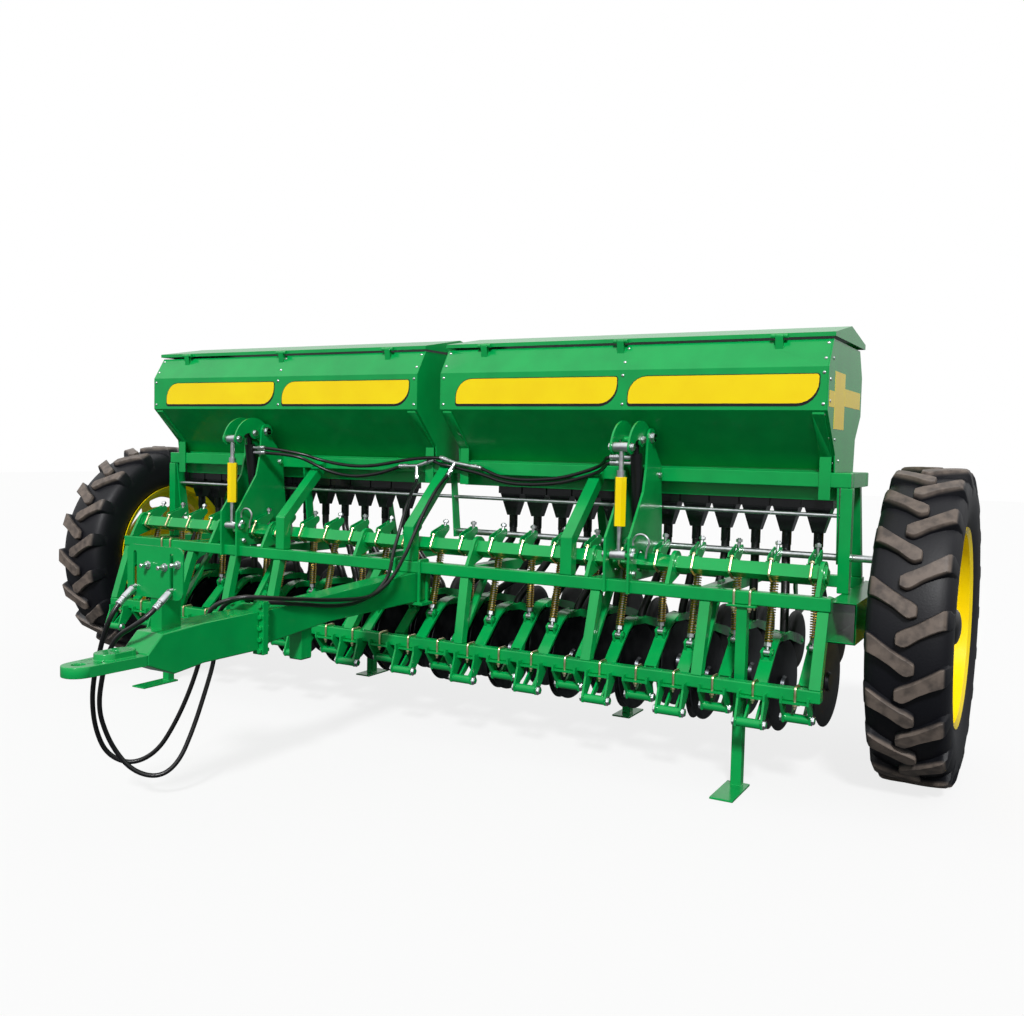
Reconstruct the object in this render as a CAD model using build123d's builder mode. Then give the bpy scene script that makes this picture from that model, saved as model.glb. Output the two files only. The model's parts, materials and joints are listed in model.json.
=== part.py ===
from build123d import *
import math
import os

# Seed drill, millimetres. X runs across the machine, -Y is the way it travels, +Z is up, the ground is z = 0.
# The origin lies on the ground at the middle of the whole machine. Fore-and-aft places are counted
# from the front face of the lower tool bar, bar_y.

os.makedirs("parts", exist_ok=True)

# Tool rows: 24 rows 150 apart, odd rows stand further back. The frame's half width follows from them.
row_pitch = 150
row_count = 24
measured_half = 1790
frame_half = row_pitch * (row_count - 1) / 2 + 65

# Wheels
tyre_r = 603
tyre_w = 284
rim_r = 356
rim_w = 250
wheel_x = frame_half + 289
wheel_y = 812
axle_r = 35
hub_r = 85

# Frame
bar_y = 230
lower_bar = 45
lower_bar_top = 418
bar_half = frame_half + 20
front_bar = 50
front_bar_y = bar_y + 90
front_bar_top = 735
front_bar_bottom = front_bar_top - front_bar
lower_bar_bottom = lower_bar_top - lower_bar
strut = 40
side_beam_x = frame_half
side_beam_w = 100
side_beam_h = 150
side_beam_top = 715
side_beam_wall = 6
gusset_w = 12
side_beam_y0 = bar_y + 160
side_beam_y1 = bar_y + 900
rear_beam_y = bar_y + 820
rail_h = 57
rail = 50
rail_top = 1175
rail_bottom = rail_top - rail_h
rail_half = frame_half + 19
front_rail_y = bar_y + 397
rear_rail_y = bar_y + 710
seat_gap = 0.3

# Hoppers
hopper_in = 62
hopper_out = frame_half - 43
hopper_wall = 5
hopper_mid = bar_y + 550
lid_t = 4

# Openers: pivots, discs, press wheels and boots, each offset counted from its row's pivot
front_pivot_y = bar_y - 40
front_pivot_z = 284
rear_pivot_y = bar_y + 40
rear_pivot_z = 304
disc_r = 175
disc_t = 4
press_r = 120
hub_dy = 375
hub_dz = 66
clevis_dy = 212
clevis_dz = 218
press_dy = 640
press_dz = 200
boot_dy = 455
boot_dz = 205

# Lift shaft and its forks
shaft_y = bar_y + 190
shaft_z = 805
shaft_size = 50
shaft_turn = -28
shaft_half = frame_half - 8
fork_r = 106
fork_angle = 41
fork_gap = 20
fork_t = 5

# Lift towers and cylinders
right_tower = 7 * row_pitch - 52
left_tower = -7 * row_pitch
tower_t = 10
tower_gap = 90
cyl_pin_y = bar_y + 205
cyl_pin_z = 1285
crank_pin_y = bar_y + 275
crank_pin_z = 1295
link_pin_y = bar_y + 95
link_top_z = 1255
link_low_z = 832
cyl_arm_r = 95
cyl_arm_angle = 35

# Drawbar
bar_half_w = 60
hitch_tip = -(wheel_y + tyre_r)
eye_y = hitch_tip + 50
eye_r = 20
tongue_top = 573
tongue_t = 34


def row_x(number):
    """Sideways place of a row, counted from 1 at the right."""
    return row_pitch * (row_count - 1) / 2 - row_pitch * (number - 1)


def spread(x):
    """A sideways place read on the measured frame, moved in or out with the frame's half width."""
    return x * frame_half / measured_half


front_rows = [row_x(number) for number in range(2, row_count + 1, 2)]
rear_rows = [row_x(number) for number in range(1, row_count + 1, 2)]
all_rows = sorted(front_rows + rear_rows)


def block(x0, x1, y0, y1, z0, z1):
    """A straight-edged block between three pairs of limits."""
    with Locations(((x0 + x1) / 2, (y0 + y1) / 2, (z0 + z1) / 2)):
        Box(x1 - x0, y1 - y0, z1 - z0)


def side_plate(x0, thickness, points):
    """A plate with its outline in Y and Z, from x0 towards +X."""
    with BuildSketch(Plane.YZ.offset(x0)) as outline:
        with BuildLine():
            Polyline(*points, close=True)
        make_face()
    extrude(outline.sketch, amount=thickness)


def round_x(x0, x1, y, z, radius, mode=Mode.ADD):
    """A round bar along X."""
    with BuildSketch(Plane.YZ.offset(x0)) as ring:
        with Locations((y, z)):
            Circle(radius)
    extrude(ring.sketch, amount=x1 - x0, mode=mode)


def round_z(x, y, z0, z1, radius, mode=Mode.ADD):
    """A round bar along Z."""
    with BuildSketch(Plane.XY.offset(z0)) as ring:
        with Locations((x, y)):
            Circle(radius)
    extrude(ring.sketch, amount=z1 - z0, mode=mode)


def leaning_post(foot, top, foot_size, top_size):
    """A post with level ends, from foot to top, each size given along X and Y."""
    with BuildSketch(Plane.XY.offset(foot[2])) as low:
        with Locations((foot[0], foot[1])):
            Rectangle(*foot_size)
    with BuildSketch(Plane.XY.offset(top[2])) as high:
        with Locations((top[0], top[1])):
            Rectangle(*top_size)
    loft([low.sketch.face(), high.sketch.face()], ruled=True)


def staple(x, y0, y1, z0, z1, wire):
    """A U-bolt over a bar: legs along Z outside y0 and y1, its round wire drawn square."""
    with BuildSketch(Plane.YZ.offset(x - wire / 2)) as outline:
        with BuildLine():
            FilletPolyline(
                (y0 - wire, z0), (y0 - wire, z1 + wire), (y1 + wire, z1 + wire), (y1 + wire, z0), radius=wire
            )
            Polyline((y1 + wire, z0), (y1, z0), (y1, z1), (y0, z1), (y0, z0), (y0 - wire, z0))
        make_face()
    extrude(outline.sketch, amount=wire)


def round_between(start, end, radius):
    """A round bar from start to end."""
    along = Vector(*end) - Vector(*start)
    with BuildSketch(Plane(origin=start, z_dir=along)) as section:
        Circle(radius)
    extrude(section.sketch, amount=along.length)


def copies(piece, places):
    """Adds a copy of a finished piece at each place, given as X or as X, Y, Z."""
    with Locations(*[place if isinstance(place, tuple) else (place, 0, 0) for place in places]):
        add(piece.part)


def turned(y, z, angle, centre_y=0.0, centre_z=0.0):
    """A point turned about X by an angle in degrees, +Y towards +Z."""
    turn = math.radians(angle)
    return (
        centre_y + y * math.cos(turn) - z * math.sin(turn),
        centre_z + y * math.sin(turn) + z * math.cos(turn),
    )


def save(piece, name):
    """Names a finished piece and writes it."""
    piece.part.label = name
    export_step(piece.part, f"parts/{name}.step")


# Frame bars
with BuildPart() as front_upper_bar:
    block(-bar_half - 4, bar_half + 4, front_bar_y, front_bar_y + front_bar, front_bar_bottom, front_bar_top)
save(front_upper_bar, "front_upper_bar")

with BuildPart() as front_lower_bar:
    block(-bar_half, bar_half, bar_y, bar_y + lower_bar, lower_bar_bottom, lower_bar_top)
save(front_lower_bar, "front_lower_bar")

# Struts between the two front bars: place across at the top, then at the bottom
strut_places = [
    (1788, 1788),
    (1353, 1358),
    (902, 906),
    (290, 320),
    (-166, -258),
    (-760, -740),
    (-1042, -1020),
    (-1331, -1345),
    (-1788, -1788),
]
strut_top_y = front_bar_y + front_bar / 2
strut_foot_y = bar_y + lower_bar / 2
with BuildPart() as frame_struts:
    for top_x, foot_x in strut_places:
        leaning_post(
            (spread(foot_x), strut_foot_y, lower_bar_top),
            (spread(top_x), strut_top_y, front_bar_bottom),
            (strut, strut),
            (strut, strut),
        )
save(frame_struts, "frame_struts")

# Fore-and-aft members of the main frame and the thin braces that run up to them
member_places = [row_pitch * step for step in (-9, -6, -2, 2, 6, 9)]
with BuildPart() as cross_members:
    for x in member_places:
        block(x - 25, x + 25, front_bar_y + front_bar, rear_beam_y, front_bar_bottom, front_bar_top)
save(cross_members, "cross_members")

brace_w = 30
brace_t = 12
brace_foot_z = lower_bar_bottom + 20
brace_y0 = bar_y + lower_bar
brace_y1 = bar_y + 260
with BuildPart() as frame_braces:
    for x in member_places:
        side_plate(
            x - brace_w / 2,
            brace_w,
            [
                (brace_y0, brace_foot_z),
                (brace_y1 + brace_t, front_bar_bottom),
                (brace_y1 - brace_t, front_bar_bottom),
                (brace_y0, brace_foot_z + 2 * brace_t),
            ],
        )
save(frame_braces, "frame_braces")

with BuildPart() as side_beams:
    for side in (-1, 1):
        mid_x = side * (side_beam_x + side_beam_w / 2)
        with Locations((mid_x, (side_beam_y0 + side_beam_y1) / 2, side_beam_top - side_beam_h / 2)):
            Box(side_beam_w, side_beam_y1 - side_beam_y0, side_beam_h)
            Box(
                side_beam_w - 2 * side_beam_wall,
                side_beam_y1 - side_beam_y0,
                side_beam_h - 2 * side_beam_wall,
                mode=Mode.SUBTRACT,
            )
    for x in (-side_beam_x - gusset_w, side_beam_x):
        side_plate(
            x,
            gusset_w,
            [
                (side_beam_y0, side_beam_top),
                (side_beam_y0 + 90, side_beam_top),
                (side_beam_y0, front_bar_top),
            ],
        )
save(side_beams, "side_beams")

with BuildPart() as rear_beam:
    block(-side_beam_x, side_beam_x, rear_beam_y, rear_beam_y + front_bar, front_bar_bottom, front_bar_top)
save(rear_beam, "rear_beam")

# Hopper rails, their end ties, end posts, rear posts and the cranked posts from the front bar
tie_w = 50
with BuildPart() as hopper_rails:
    block(-rail_half, rail_half, front_rail_y, front_rail_y + rail, rail_bottom, rail_top)
    block(-rail_half, rail_half, rear_rail_y, rear_rail_y + rail, rail_bottom, rail_top)
save(hopper_rails, "hopper_rails")

with BuildPart() as rail_ties:
    for x in (-rail_half, rail_half - tie_w):
        block(x, x + tie_w, front_rail_y + rail, rear_rail_y, rail_bottom, rail_top)
save(rail_ties, "rail_ties")

end_post_w = 43
end_post_x = rail_half - end_post_w / 2 + 6
rear_post_w = 40
rear_post_places = (25 - side_beam_x, spread(-620), spread(620), side_beam_x - 25)
crank_post_w = 50
crank_post_places = (spread(-740), 0, spread(770))
crank_post_z = front_bar_top + 135
with BuildPart() as hopper_posts:
    for side in (-1, 1):
        x = side * end_post_x
        block(
            x - end_post_w / 2,
            x + end_post_w / 2,
            front_rail_y,
            front_rail_y + 45,
            side_beam_top,
            rail_bottom,
        )
    for x in rear_post_places:
        leaning_post(
            (x, rear_beam_y + front_bar / 2, front_bar_top),
            (x, rear_rail_y + rail / 2, rail_bottom),
            (rear_post_w, rear_post_w),
            (rear_post_w, rear_post_w),
        )
    for x in crank_post_places:
        side_plate(
            x - crank_post_w / 2,
            crank_post_w,
            [
                (front_bar_y, front_bar_top),
                (front_bar_y + front_bar, front_bar_top),
                (front_bar_y + front_bar, crank_post_z),
                (front_rail_y, rail_bottom - 6),
                (front_rail_y, rail_top - 4),
                (front_bar_y, crank_post_z + 18),
            ],
        )
save(hopper_posts, "hopper_posts")

# Drawbar: front box with its sloping nose, rear box under the front bar, bolted joint between them
joint_y = bar_y - 888
joint_t = 12
box_front_y = bar_y - 1391
rear_box_y1 = bar_y + 200
rear_half_w = 50
socket_y = bar_y - 612
socket_w = 60
socket_low = 424
nose_low = (bar_y - 1332, 631)
nose_high = (bar_y - 1177, 641)


def box_top(y):
    """Height of the front box's top where the hose post stands on it."""
    share = (y - nose_low[0]) / (nose_high[0] - nose_low[0])
    return nose_low[1] + share * (nose_high[1] - nose_low[1])


with BuildPart() as drawbar_front:
    side_plate(
        -bar_half_w,
        2 * bar_half_w,
        [
            (box_front_y, tongue_top - tongue_t),
            (box_front_y, tongue_top),
            nose_low,
            nose_high,
            (joint_y - joint_t, 646),
            (joint_y - joint_t, 508),
            (bar_y - 1155, 508),
            (bar_y - 1282, 494),
        ],
    )
save(drawbar_front, "drawbar_front")

with BuildPart() as drawbar_rear:
    side_plate(
        -rear_half_w,
        2 * rear_half_w,
        [
            (joint_y + joint_t, 520),
            (joint_y + joint_t, 640),
            (front_bar_y - 30, front_bar_bottom),
            (rear_box_y1, front_bar_bottom),
            (rear_box_y1, 558),
            (front_bar_y - 60, 558),
            (bar_y - 500, 553),
        ],
    )
    block(
        -socket_w / 2,
        socket_w / 2,
        socket_y - socket_w / 2,
        socket_y + socket_w / 2,
        socket_low,
        socket_low + 130,
    )
    with Locations((0, socket_y, socket_low + 50)):
        Box(socket_w - 12, socket_w - 12, 100, mode=Mode.SUBTRACT)
save(drawbar_rear, "drawbar_rear")

# Bolted plates between the two drawbar boxes, and the clamps of the rear box under the front bar
joint_half_w = 80
joint_low = 492
joint_high = 682
clamp_t = 12
clamp_x = rear_half_w + 16
clamp_low = 558
clamp_wire = 12
with BuildPart() as drawbar_plates:
    for y0 in (joint_y - joint_t, joint_y):
        block(-joint_half_w, joint_half_w, y0, y0 + joint_t, joint_low, joint_high)
    with Locations((0, joint_y, joint_high), (0, joint_y, joint_low)):
        Box(60, 2 * joint_t, 30, mode=Mode.SUBTRACT)
    for x in (-clamp_x, clamp_x):
        staple(x, front_bar_y, front_bar_y + front_bar, clamp_low - clamp_t, front_bar_top, clamp_wire)
    block(
        -clamp_x - 25,
        clamp_x + 25,
        front_bar_y - 18,
        front_bar_y + front_bar + 18,
        clamp_low - clamp_t,
        clamp_low,
    )
save(drawbar_plates, "drawbar_plates")

# Hitch: tongue with its eye and a raised wear plate
tongue_half_w = 50
plate_t = 20
pin_hole_y = eye_y + 130
with BuildPart() as hitch:
    with BuildSketch(Plane.XY.offset(tongue_top - tongue_t)) as tongue:
        with BuildLine():
            Polyline(
                (-tongue_half_w, eye_y),
                (-bar_half_w, box_front_y),
                (bar_half_w, box_front_y),
                (tongue_half_w, eye_y),
            )
            ThreePointArc((tongue_half_w, eye_y), (0, eye_y - tongue_half_w), (-tongue_half_w, eye_y))
        make_face()
    extrude(tongue.sketch, amount=tongue_t)
    with BuildSketch(Plane.XY.offset(tongue_top)) as wear_plate:
        with Locations((0, pin_hole_y)):
            SlotCenterToCenter(60, 76, rotation=90)
    extrude(wear_plate.sketch, amount=plate_t)
    round_z(0, eye_y, tongue_top - tongue_t, tongue_top, eye_r, Mode.SUBTRACT)
    round_z(0, pin_hole_y, tongue_top - tongue_t, tongue_top + plate_t, 14, Mode.SUBTRACT)
save(hitch, "hitch")

# Hose plate on its post
hose_plate_y = bar_y - 1300
hose_plate_t = 6
hose_plate = (-140, 112, 735, 902)
slot_places = (-104, 62)
with BuildPart() as hose_holder:
    with BuildSketch(Plane.XZ.offset(-hose_plate_y)) as outline:
        with Locations(((hose_plate[0] + hose_plate[1]) / 2, (hose_plate[2] + hose_plate[3]) / 2)):
            RectangleRounded(hose_plate[1] - hose_plate[0], hose_plate[3] - hose_plate[2], 26)
        for x in slot_places:
            with Locations((x, (hose_plate[2] + hose_plate[3]) / 2)):
                SlotOverall(128, 16, rotation=90, mode=Mode.SUBTRACT)
    extrude(outline.sketch, amount=-hose_plate_t)
    post_y0 = hose_plate_y + hose_plate_t
    post_y1 = post_y0 + 80
    side_plate(
        -38,
        50,
        [(post_y0, box_top(post_y0)), (post_y1, box_top(post_y1)), (post_y1, 870), (post_y0, 870)],
    )
save(hose_holder, "hose_holder")

# Four stand legs, clamped under the front bar and under the rear beam
leg = 40
foot_t = 8
stand_x = spread(1497)
rear_stand_x = 5 * row_pitch
u_wire = 10
u_side = 30


def stand_leg(x, bar0, leg_y, foot_y0, foot_y1):
    """One leg with its foot plate and its clamp plate under a bar that starts at bar0."""
    block(x - 43, x + 43, foot_y0, foot_y1, 0, foot_t)
    block(x - leg / 2, x + leg / 2, leg_y - leg / 2, leg_y + leg / 2, foot_t, front_bar_bottom - foot_t)
    block(x - 55, x + 55, bar0 - 18, bar0 + front_bar + 18, front_bar_bottom - foot_t, front_bar_bottom)


with BuildPart() as stand_legs:
    for x in (-stand_x, stand_x):
        stand_leg(x, front_bar_y, front_bar_y + 15, front_bar_y - 180, front_bar_y + 40)
    for x in (-rear_stand_x, rear_stand_x):
        stand_leg(x, rear_beam_y, rear_beam_y + front_bar / 2, rear_beam_y - 60, rear_beam_y + 120)
save(stand_legs, "stand_legs")

# Opener brackets under the lower bar, with their pivot bolts
flange_t = 8
flange_w = 11
ear_t = 8
ear_x = 43
pivot_tube_r = 17
pivot_bolt_r = 9
nut_w = 11
rear_row_dy = rear_pivot_y - front_pivot_y
rear_row_dz = rear_pivot_z - front_pivot_z
front_places = [(x, 0, 0) for x in front_rows]
rear_places = [(x, rear_row_dy, rear_row_dz) for x in rear_rows]


def opener_bracket(pivot_y, pivot_z):
    """Flange, two ears and pivot bolt of one bracket at x = 0."""
    flange_low = lower_bar_bottom - flange_t
    flange_y0 = min(bar_y - 16, pivot_y + 10)
    block(-ear_x - ear_t, ear_x + ear_t, bar_y - 16, bar_y + lower_bar - 5, flange_low, lower_bar_bottom)
    block(-flange_w, flange_w, bar_y + lower_bar - 5, bar_y + lower_bar + 16, flange_low, lower_bar_bottom)
    for x0 in (-ear_x - ear_t, ear_x):
        side_plate(
            x0,
            ear_t,
            [
                (flange_y0 - 4, lower_bar_bottom + 16),
                (flange_y0 - 4, flange_low),
                (pivot_y - 20, pivot_z + 8),
                (pivot_y - 14, pivot_z - 16),
                (pivot_y + 14, pivot_z - 16),
                (pivot_y + 20, pivot_z + 8),
                (bar_y + lower_bar - 5, flange_low),
                (bar_y - 1, flange_low + 4),
                (bar_y - 1, lower_bar_bottom + 16),
            ],
        )
    bolt_half = ear_x + ear_t + nut_w
    round_x(-bolt_half, bolt_half, pivot_y, pivot_z, pivot_bolt_r)


with BuildPart() as front_bracket:
    opener_bracket(front_pivot_y, front_pivot_z)
with BuildPart() as rear_bracket:
    opener_bracket(rear_pivot_y, rear_pivot_z)
with BuildPart() as opener_brackets:
    copies(front_bracket, front_rows)
    copies(rear_bracket, rear_rows)
save(opener_brackets, "opener_brackets")

# U-bolts over the two front bars: one for each bracket, two for each front stand leg
nut_half = 8
nut_h = 9
with BuildPart() as bar_u_bolt:
    staple(0, bar_y, bar_y + lower_bar, lower_bar_bottom, lower_bar_top, u_wire)
with BuildPart() as bar_u_nuts:
    for y in (bar_y - u_wire / 2, bar_y + lower_bar + u_wire / 2):
        flange_low = lower_bar_bottom - flange_t
        block(-nut_half, nut_half, y - nut_half, y + nut_half, flange_low - nut_h, flange_low)
        round_z(0, y, flange_low - 2 * nut_h, flange_low - nut_h, u_wire / 2)
with BuildPart() as stand_u_bolt:
    staple(0, front_bar_y, front_bar_y + front_bar, front_bar_bottom, front_bar_top, u_wire)
with BuildPart() as stand_u_nuts:
    for y in (front_bar_y - u_wire / 2, front_bar_y + front_bar + u_wire / 2):
        plate_low = front_bar_bottom - foot_t
        block(-nut_half, nut_half, y - nut_half, y + nut_half, plate_low - nut_h, plate_low)
        round_z(0, y, plate_low - 2 * nut_h, plate_low - nut_h, u_wire / 2)
stand_bolt_places = [side * stand_x + offset for side in (-1, 1) for offset in (-u_side, u_side)]
with BuildPart() as frame_u_bolts:
    copies(bar_u_bolt, all_rows)
    copies(bar_u_nuts, all_rows)
    copies(stand_u_bolt, stand_bolt_places)
    copies(stand_u_nuts, stand_bolt_places)
save(frame_u_bolts, "frame_u_bolts")

# Lift shaft: a square tube with round collars in its bearings
bearing_steps = (2 * row_pitch, spread(860), 8 * row_pitch, frame_half - 25)
bearing_places = [side * step for side in (-1, 1) for step in bearing_steps]
collar_r = 38
bearing_w = 16
bearing_r = 52
half_shaft = shaft_size / 2
cyl_low_y, cyl_low_z = turned(cyl_arm_r, 0, cyl_arm_angle, shaft_y, shaft_z)
cyl_places = {"right": right_tower + 14, "left": left_tower}
cyl_arm_t = 12
cyl_arm_half = 11


def on_shaft(along, above):
    """A point of the turned square tube's own axes, seen from the side."""
    return turned(along, above, shaft_turn, shaft_y, shaft_z)


with BuildPart() as lift_shaft:
    with BuildSketch(Plane.YZ.offset(-shaft_half)) as section:
        with Locations((shaft_y, shaft_z)):
            Rectangle(shaft_size, shaft_size, rotation=shaft_turn)
    extrude(section.sketch, amount=2 * shaft_half)
    for x in bearing_places:
        round_x(x - bearing_w / 2 - 3, x + bearing_w / 2 + 3, shaft_y, shaft_z, collar_r)
    for x in cyl_places.values():
        side_plate(
            x - cyl_arm_t / 2,
            cyl_arm_t,
            [
                on_shaft(-half_shaft + 4, half_shaft - 1),
                on_shaft(half_shaft - 1, -half_shaft + 4),
                turned(cyl_arm_r, -cyl_arm_half, cyl_arm_angle, shaft_y, shaft_z),
                turned(cyl_arm_r, cyl_arm_half, cyl_arm_angle, shaft_y, shaft_z),
            ],
        )
        round_x(x - cyl_arm_t / 2, x + cyl_arm_t / 2, cyl_low_y, cyl_low_z, cyl_arm_half)
save(lift_shaft, "lift_shaft")

with BuildPart() as shaft_bearings:
    for x in bearing_places:
        round_x(x - bearing_w / 2, x + bearing_w / 2, shaft_y, shaft_z, bearing_r)
        side_plate(
            x - bearing_w / 2,
            bearing_w,
            [
                (front_bar_y + 2, front_bar_top),
                (front_bar_y + front_bar - 2, front_bar_top),
                (shaft_y + 12, shaft_z - bearing_r + 2),
                (shaft_y - 40, shaft_z + 32),
            ],
        )
        round_x(
            x - bearing_w / 2,
            x + bearing_w / 2,
            shaft_y,
            shaft_z,
            collar_r + seat_gap,
            Mode.SUBTRACT,
        )
save(shaft_bearings, "shaft_bearings")

# Forked arms on the lift shaft with their U-bolts, one for each row
saddle_t = 6
saddle_half = 22
fork_end_r = 16
fork_y, fork_z = turned(fork_r, 0, fork_angle, shaft_y, shaft_z)
with BuildPart() as lift_fork:
    side_plate(
        -saddle_half,
        2 * saddle_half,
        [
            on_shaft(-24, half_shaft),
            on_shaft(24, half_shaft),
            on_shaft(24, half_shaft + saddle_t),
            on_shaft(-24, half_shaft + saddle_t),
        ],
    )
    for x0 in (-fork_gap / 2 - fork_t, fork_gap / 2):
        side_plate(
            x0,
            fork_t,
            [
                on_shaft(-36, half_shaft + saddle_t - 1),
                on_shaft(24, half_shaft + saddle_t - 1),
                turned(fork_r, -fork_end_r, fork_angle, shaft_y, shaft_z),
                turned(fork_r, fork_end_r, fork_angle, shaft_y, shaft_z),
                on_shaft(-36, half_shaft + 22),
            ],
        )
        round_x(x0, x0 + fork_t, fork_y, fork_z, fork_end_r)
with BuildPart() as lift_forks:
    copies(lift_fork, all_rows)
save(lift_forks, "lift_forks")

with BuildPart() as shaft_u_bolt:
    with BuildSketch(Plane.YZ.offset(-u_wire / 2)) as outline:
        with Locations((shaft_y, shaft_z)):
            Rectangle(shaft_size + 2 * u_wire, shaft_size + 2 * u_wire, rotation=shaft_turn)
            Rectangle(shaft_size, shaft_size, rotation=shaft_turn, mode=Mode.SUBTRACT)
        with BuildLine():
            Polyline(
                on_shaft(-half_shaft - u_wire - 2, half_shaft),
                on_shaft(half_shaft + u_wire + 2, half_shaft),
                on_shaft(half_shaft + u_wire + 2, half_shaft + 2 * u_wire),
                on_shaft(-half_shaft - u_wire - 2, half_shaft + 2 * u_wire),
                close=True,
            )
        make_face(mode=Mode.SUBTRACT)
    extrude(outline.sketch, amount=u_wire)
with BuildPart() as shaft_u_bolts:
    copies(shaft_u_bolt, all_rows)
save(shaft_u_bolts, "shaft_u_bolts")

# Lift towers: two plates each around the lift shaft, hooked over the front bar and against the front rail
tower_hole_r = 44
tower_top_r = 38
tower_pin_out = 14
crank_pin_r = 16
link_pin_r = 11
tower_profile = [
    (front_bar_y - 20, front_bar_bottom),
    (front_bar_y, front_bar_bottom),
    (front_bar_y, front_bar_top),
    (front_bar_y + front_bar, front_bar_top),
    (bar_y + 420, 745),
    (bar_y + 425, 800),
    (bar_y + 415, 950),
    (front_rail_y, 1100),
    (front_rail_y, rail_top),
    (crank_pin_y + 26, crank_pin_z - 28),
    (crank_pin_y, crank_pin_z + tower_top_r),
    (crank_pin_y - tower_top_r, crank_pin_z),
    (bar_y + 230, 1180),
    (bar_y + 205, 1080),
    (bar_y + 97, 934),
    (front_bar_y - 20, 900),
]


def tower_plates(middle):
    """Left faces of the two plates of a tower."""
    return (middle - tower_gap / 2 - tower_t, middle + tower_gap / 2)


with BuildPart() as lift_towers:
    for middle in (right_tower, left_tower):
        pin_x0 = middle - tower_gap / 2 - tower_t - tower_pin_out
        pin_x1 = middle + tower_gap / 2 + tower_t + tower_pin_out
        for x0 in tower_plates(middle):
            side_plate(x0, tower_t, tower_profile)
            round_x(x0, x0 + tower_t, crank_pin_y, crank_pin_z, tower_top_r)
            round_x(x0, x0 + tower_t, shaft_y, shaft_z, tower_hole_r, Mode.SUBTRACT)
        round_x(pin_x0, pin_x1, crank_pin_y, crank_pin_z, crank_pin_r)
        round_x(pin_x0, pin_x1, link_pin_y, link_low_z, link_pin_r)
save(lift_towers, "lift_towers")

# Bell cranks between the tower plates: curved plates from the tower's top pin over to the front pin
crank_t = 8
crank_half = 41
crank_eye_r = 28
crank_top_r = 30
crank_pin_gap = 0.3
cyl_pin_r = 13
crank_crown = (bar_y + 175, crank_pin_z + 64)
with BuildPart() as bell_cranks:
    for middle in (right_tower, left_tower):
        for x0 in (middle - crank_half, middle + crank_half - crank_t):
            with BuildSketch(Plane.YZ.offset(x0)) as outline:
                with BuildLine():
                    ThreePointArc(
                        (link_pin_y - 26, link_top_z),
                        crank_crown,
                        (crank_pin_y + 12, crank_pin_z + crank_eye_r),
                    )
                    Line((crank_pin_y + 12, crank_pin_z + crank_eye_r), (crank_pin_y, crank_pin_z - 20))
                    Line((crank_pin_y, crank_pin_z - 20), (cyl_pin_y, cyl_pin_z - 26))
                    ThreePointArc(
                        (cyl_pin_y, cyl_pin_z - 26),
                        (cyl_pin_y - 55, cyl_pin_z - 2),
                        (link_pin_y + 26, link_top_z),
                    )
                    Line((link_pin_y + 26, link_top_z), (link_pin_y - 26, link_top_z))
                make_face()
                with Locations((link_pin_y, link_top_z)):
                    Circle(crank_eye_r)
                with Locations((crank_pin_y, crank_pin_z)):
                    Circle(crank_top_r)
                with Locations((cyl_pin_y, cyl_pin_z)):
                    Circle(crank_eye_r)
                with Locations((crank_pin_y, crank_pin_z)):
                    Circle(crank_pin_r + crank_pin_gap, mode=Mode.SUBTRACT)
            extrude(outline.sketch, amount=crank_t)
        round_x(middle - crank_half - 3, middle + crank_half + 3, link_pin_y, link_top_z, link_pin_r)
        round_x(middle - crank_half, middle + crank_half, cyl_pin_y, cyl_pin_z, cyl_pin_r)
save(bell_cranks, "bell_cranks")

# Turnbuckles that hold the bell cranks to the towers
link_rod_r = 10
link_barrel_r = 21
link_eye_r = 19
link_eye_half = 32
link_barrel_z0 = 945
link_barrel_z1 = 1138
link_nut_h = 26
with BuildPart() as turnbuckle_rods:
    for middle in (right_tower, left_tower):
        for eye_z in (link_low_z, link_top_z):
            round_x(middle - link_eye_half, middle + link_eye_half, link_pin_y, eye_z, link_eye_r)
        round_z(middle, link_pin_y, link_low_z + 12, link_barrel_z0, link_rod_r)
        round_z(middle, link_pin_y, link_barrel_z1, link_barrel_z1 + link_nut_h, 17)
        round_z(middle, link_pin_y, link_barrel_z1 + link_nut_h, link_top_z - 12, link_rod_r)
        for eye_z in (link_low_z, link_top_z):
            bore_r = link_pin_r + crank_pin_gap
            round_x(
                middle - link_eye_half, middle + link_eye_half, link_pin_y, eye_z, bore_r, Mode.SUBTRACT
            )
save(turnbuckle_rods, "turnbuckle_rods")

with BuildPart() as turnbuckle_barrels:
    for middle in (right_tower, left_tower):
        with BuildSketch(Plane.XY.offset(link_barrel_z0)) as hexagon:
            with Locations((middle, link_pin_y)):
                RegularPolygon(link_barrel_r, 6, major_radius=False)
        extrude(hexagon.sketch, amount=link_barrel_z1 - link_barrel_z0)
save(turnbuckle_barrels, "turnbuckle_barrels")

# Hydraulic cylinders between the bell cranks and the arms of the lift shaft
cyl_r = 25
cyl_eye_r = 22
cyl_eye_half = 13
cyl_neck_r = 11.5
cyl_rod_r = 12
cyl_barrel_from = 56
cyl_barrel_to = 355
cyl_bore_from = 170
clevis_half = 16
clevis_inner = 6.4
clevis_end = 56
cyl_length = math.hypot(cyl_low_y - cyl_pin_y, cyl_low_z - cyl_pin_z)
cyl_dir = ((cyl_low_y - cyl_pin_y) / cyl_length, (cyl_low_z - cyl_pin_z) / cyl_length)


def on_cylinder(x, distance, across=0):
    """A point in a cylinder's plane, a distance from its upper pin and across its axis."""
    return (
        x,
        cyl_pin_y + cyl_dir[0] * distance - cyl_dir[1] * across,
        cyl_pin_z + cyl_dir[1] * distance + cyl_dir[0] * across,
    )


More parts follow.
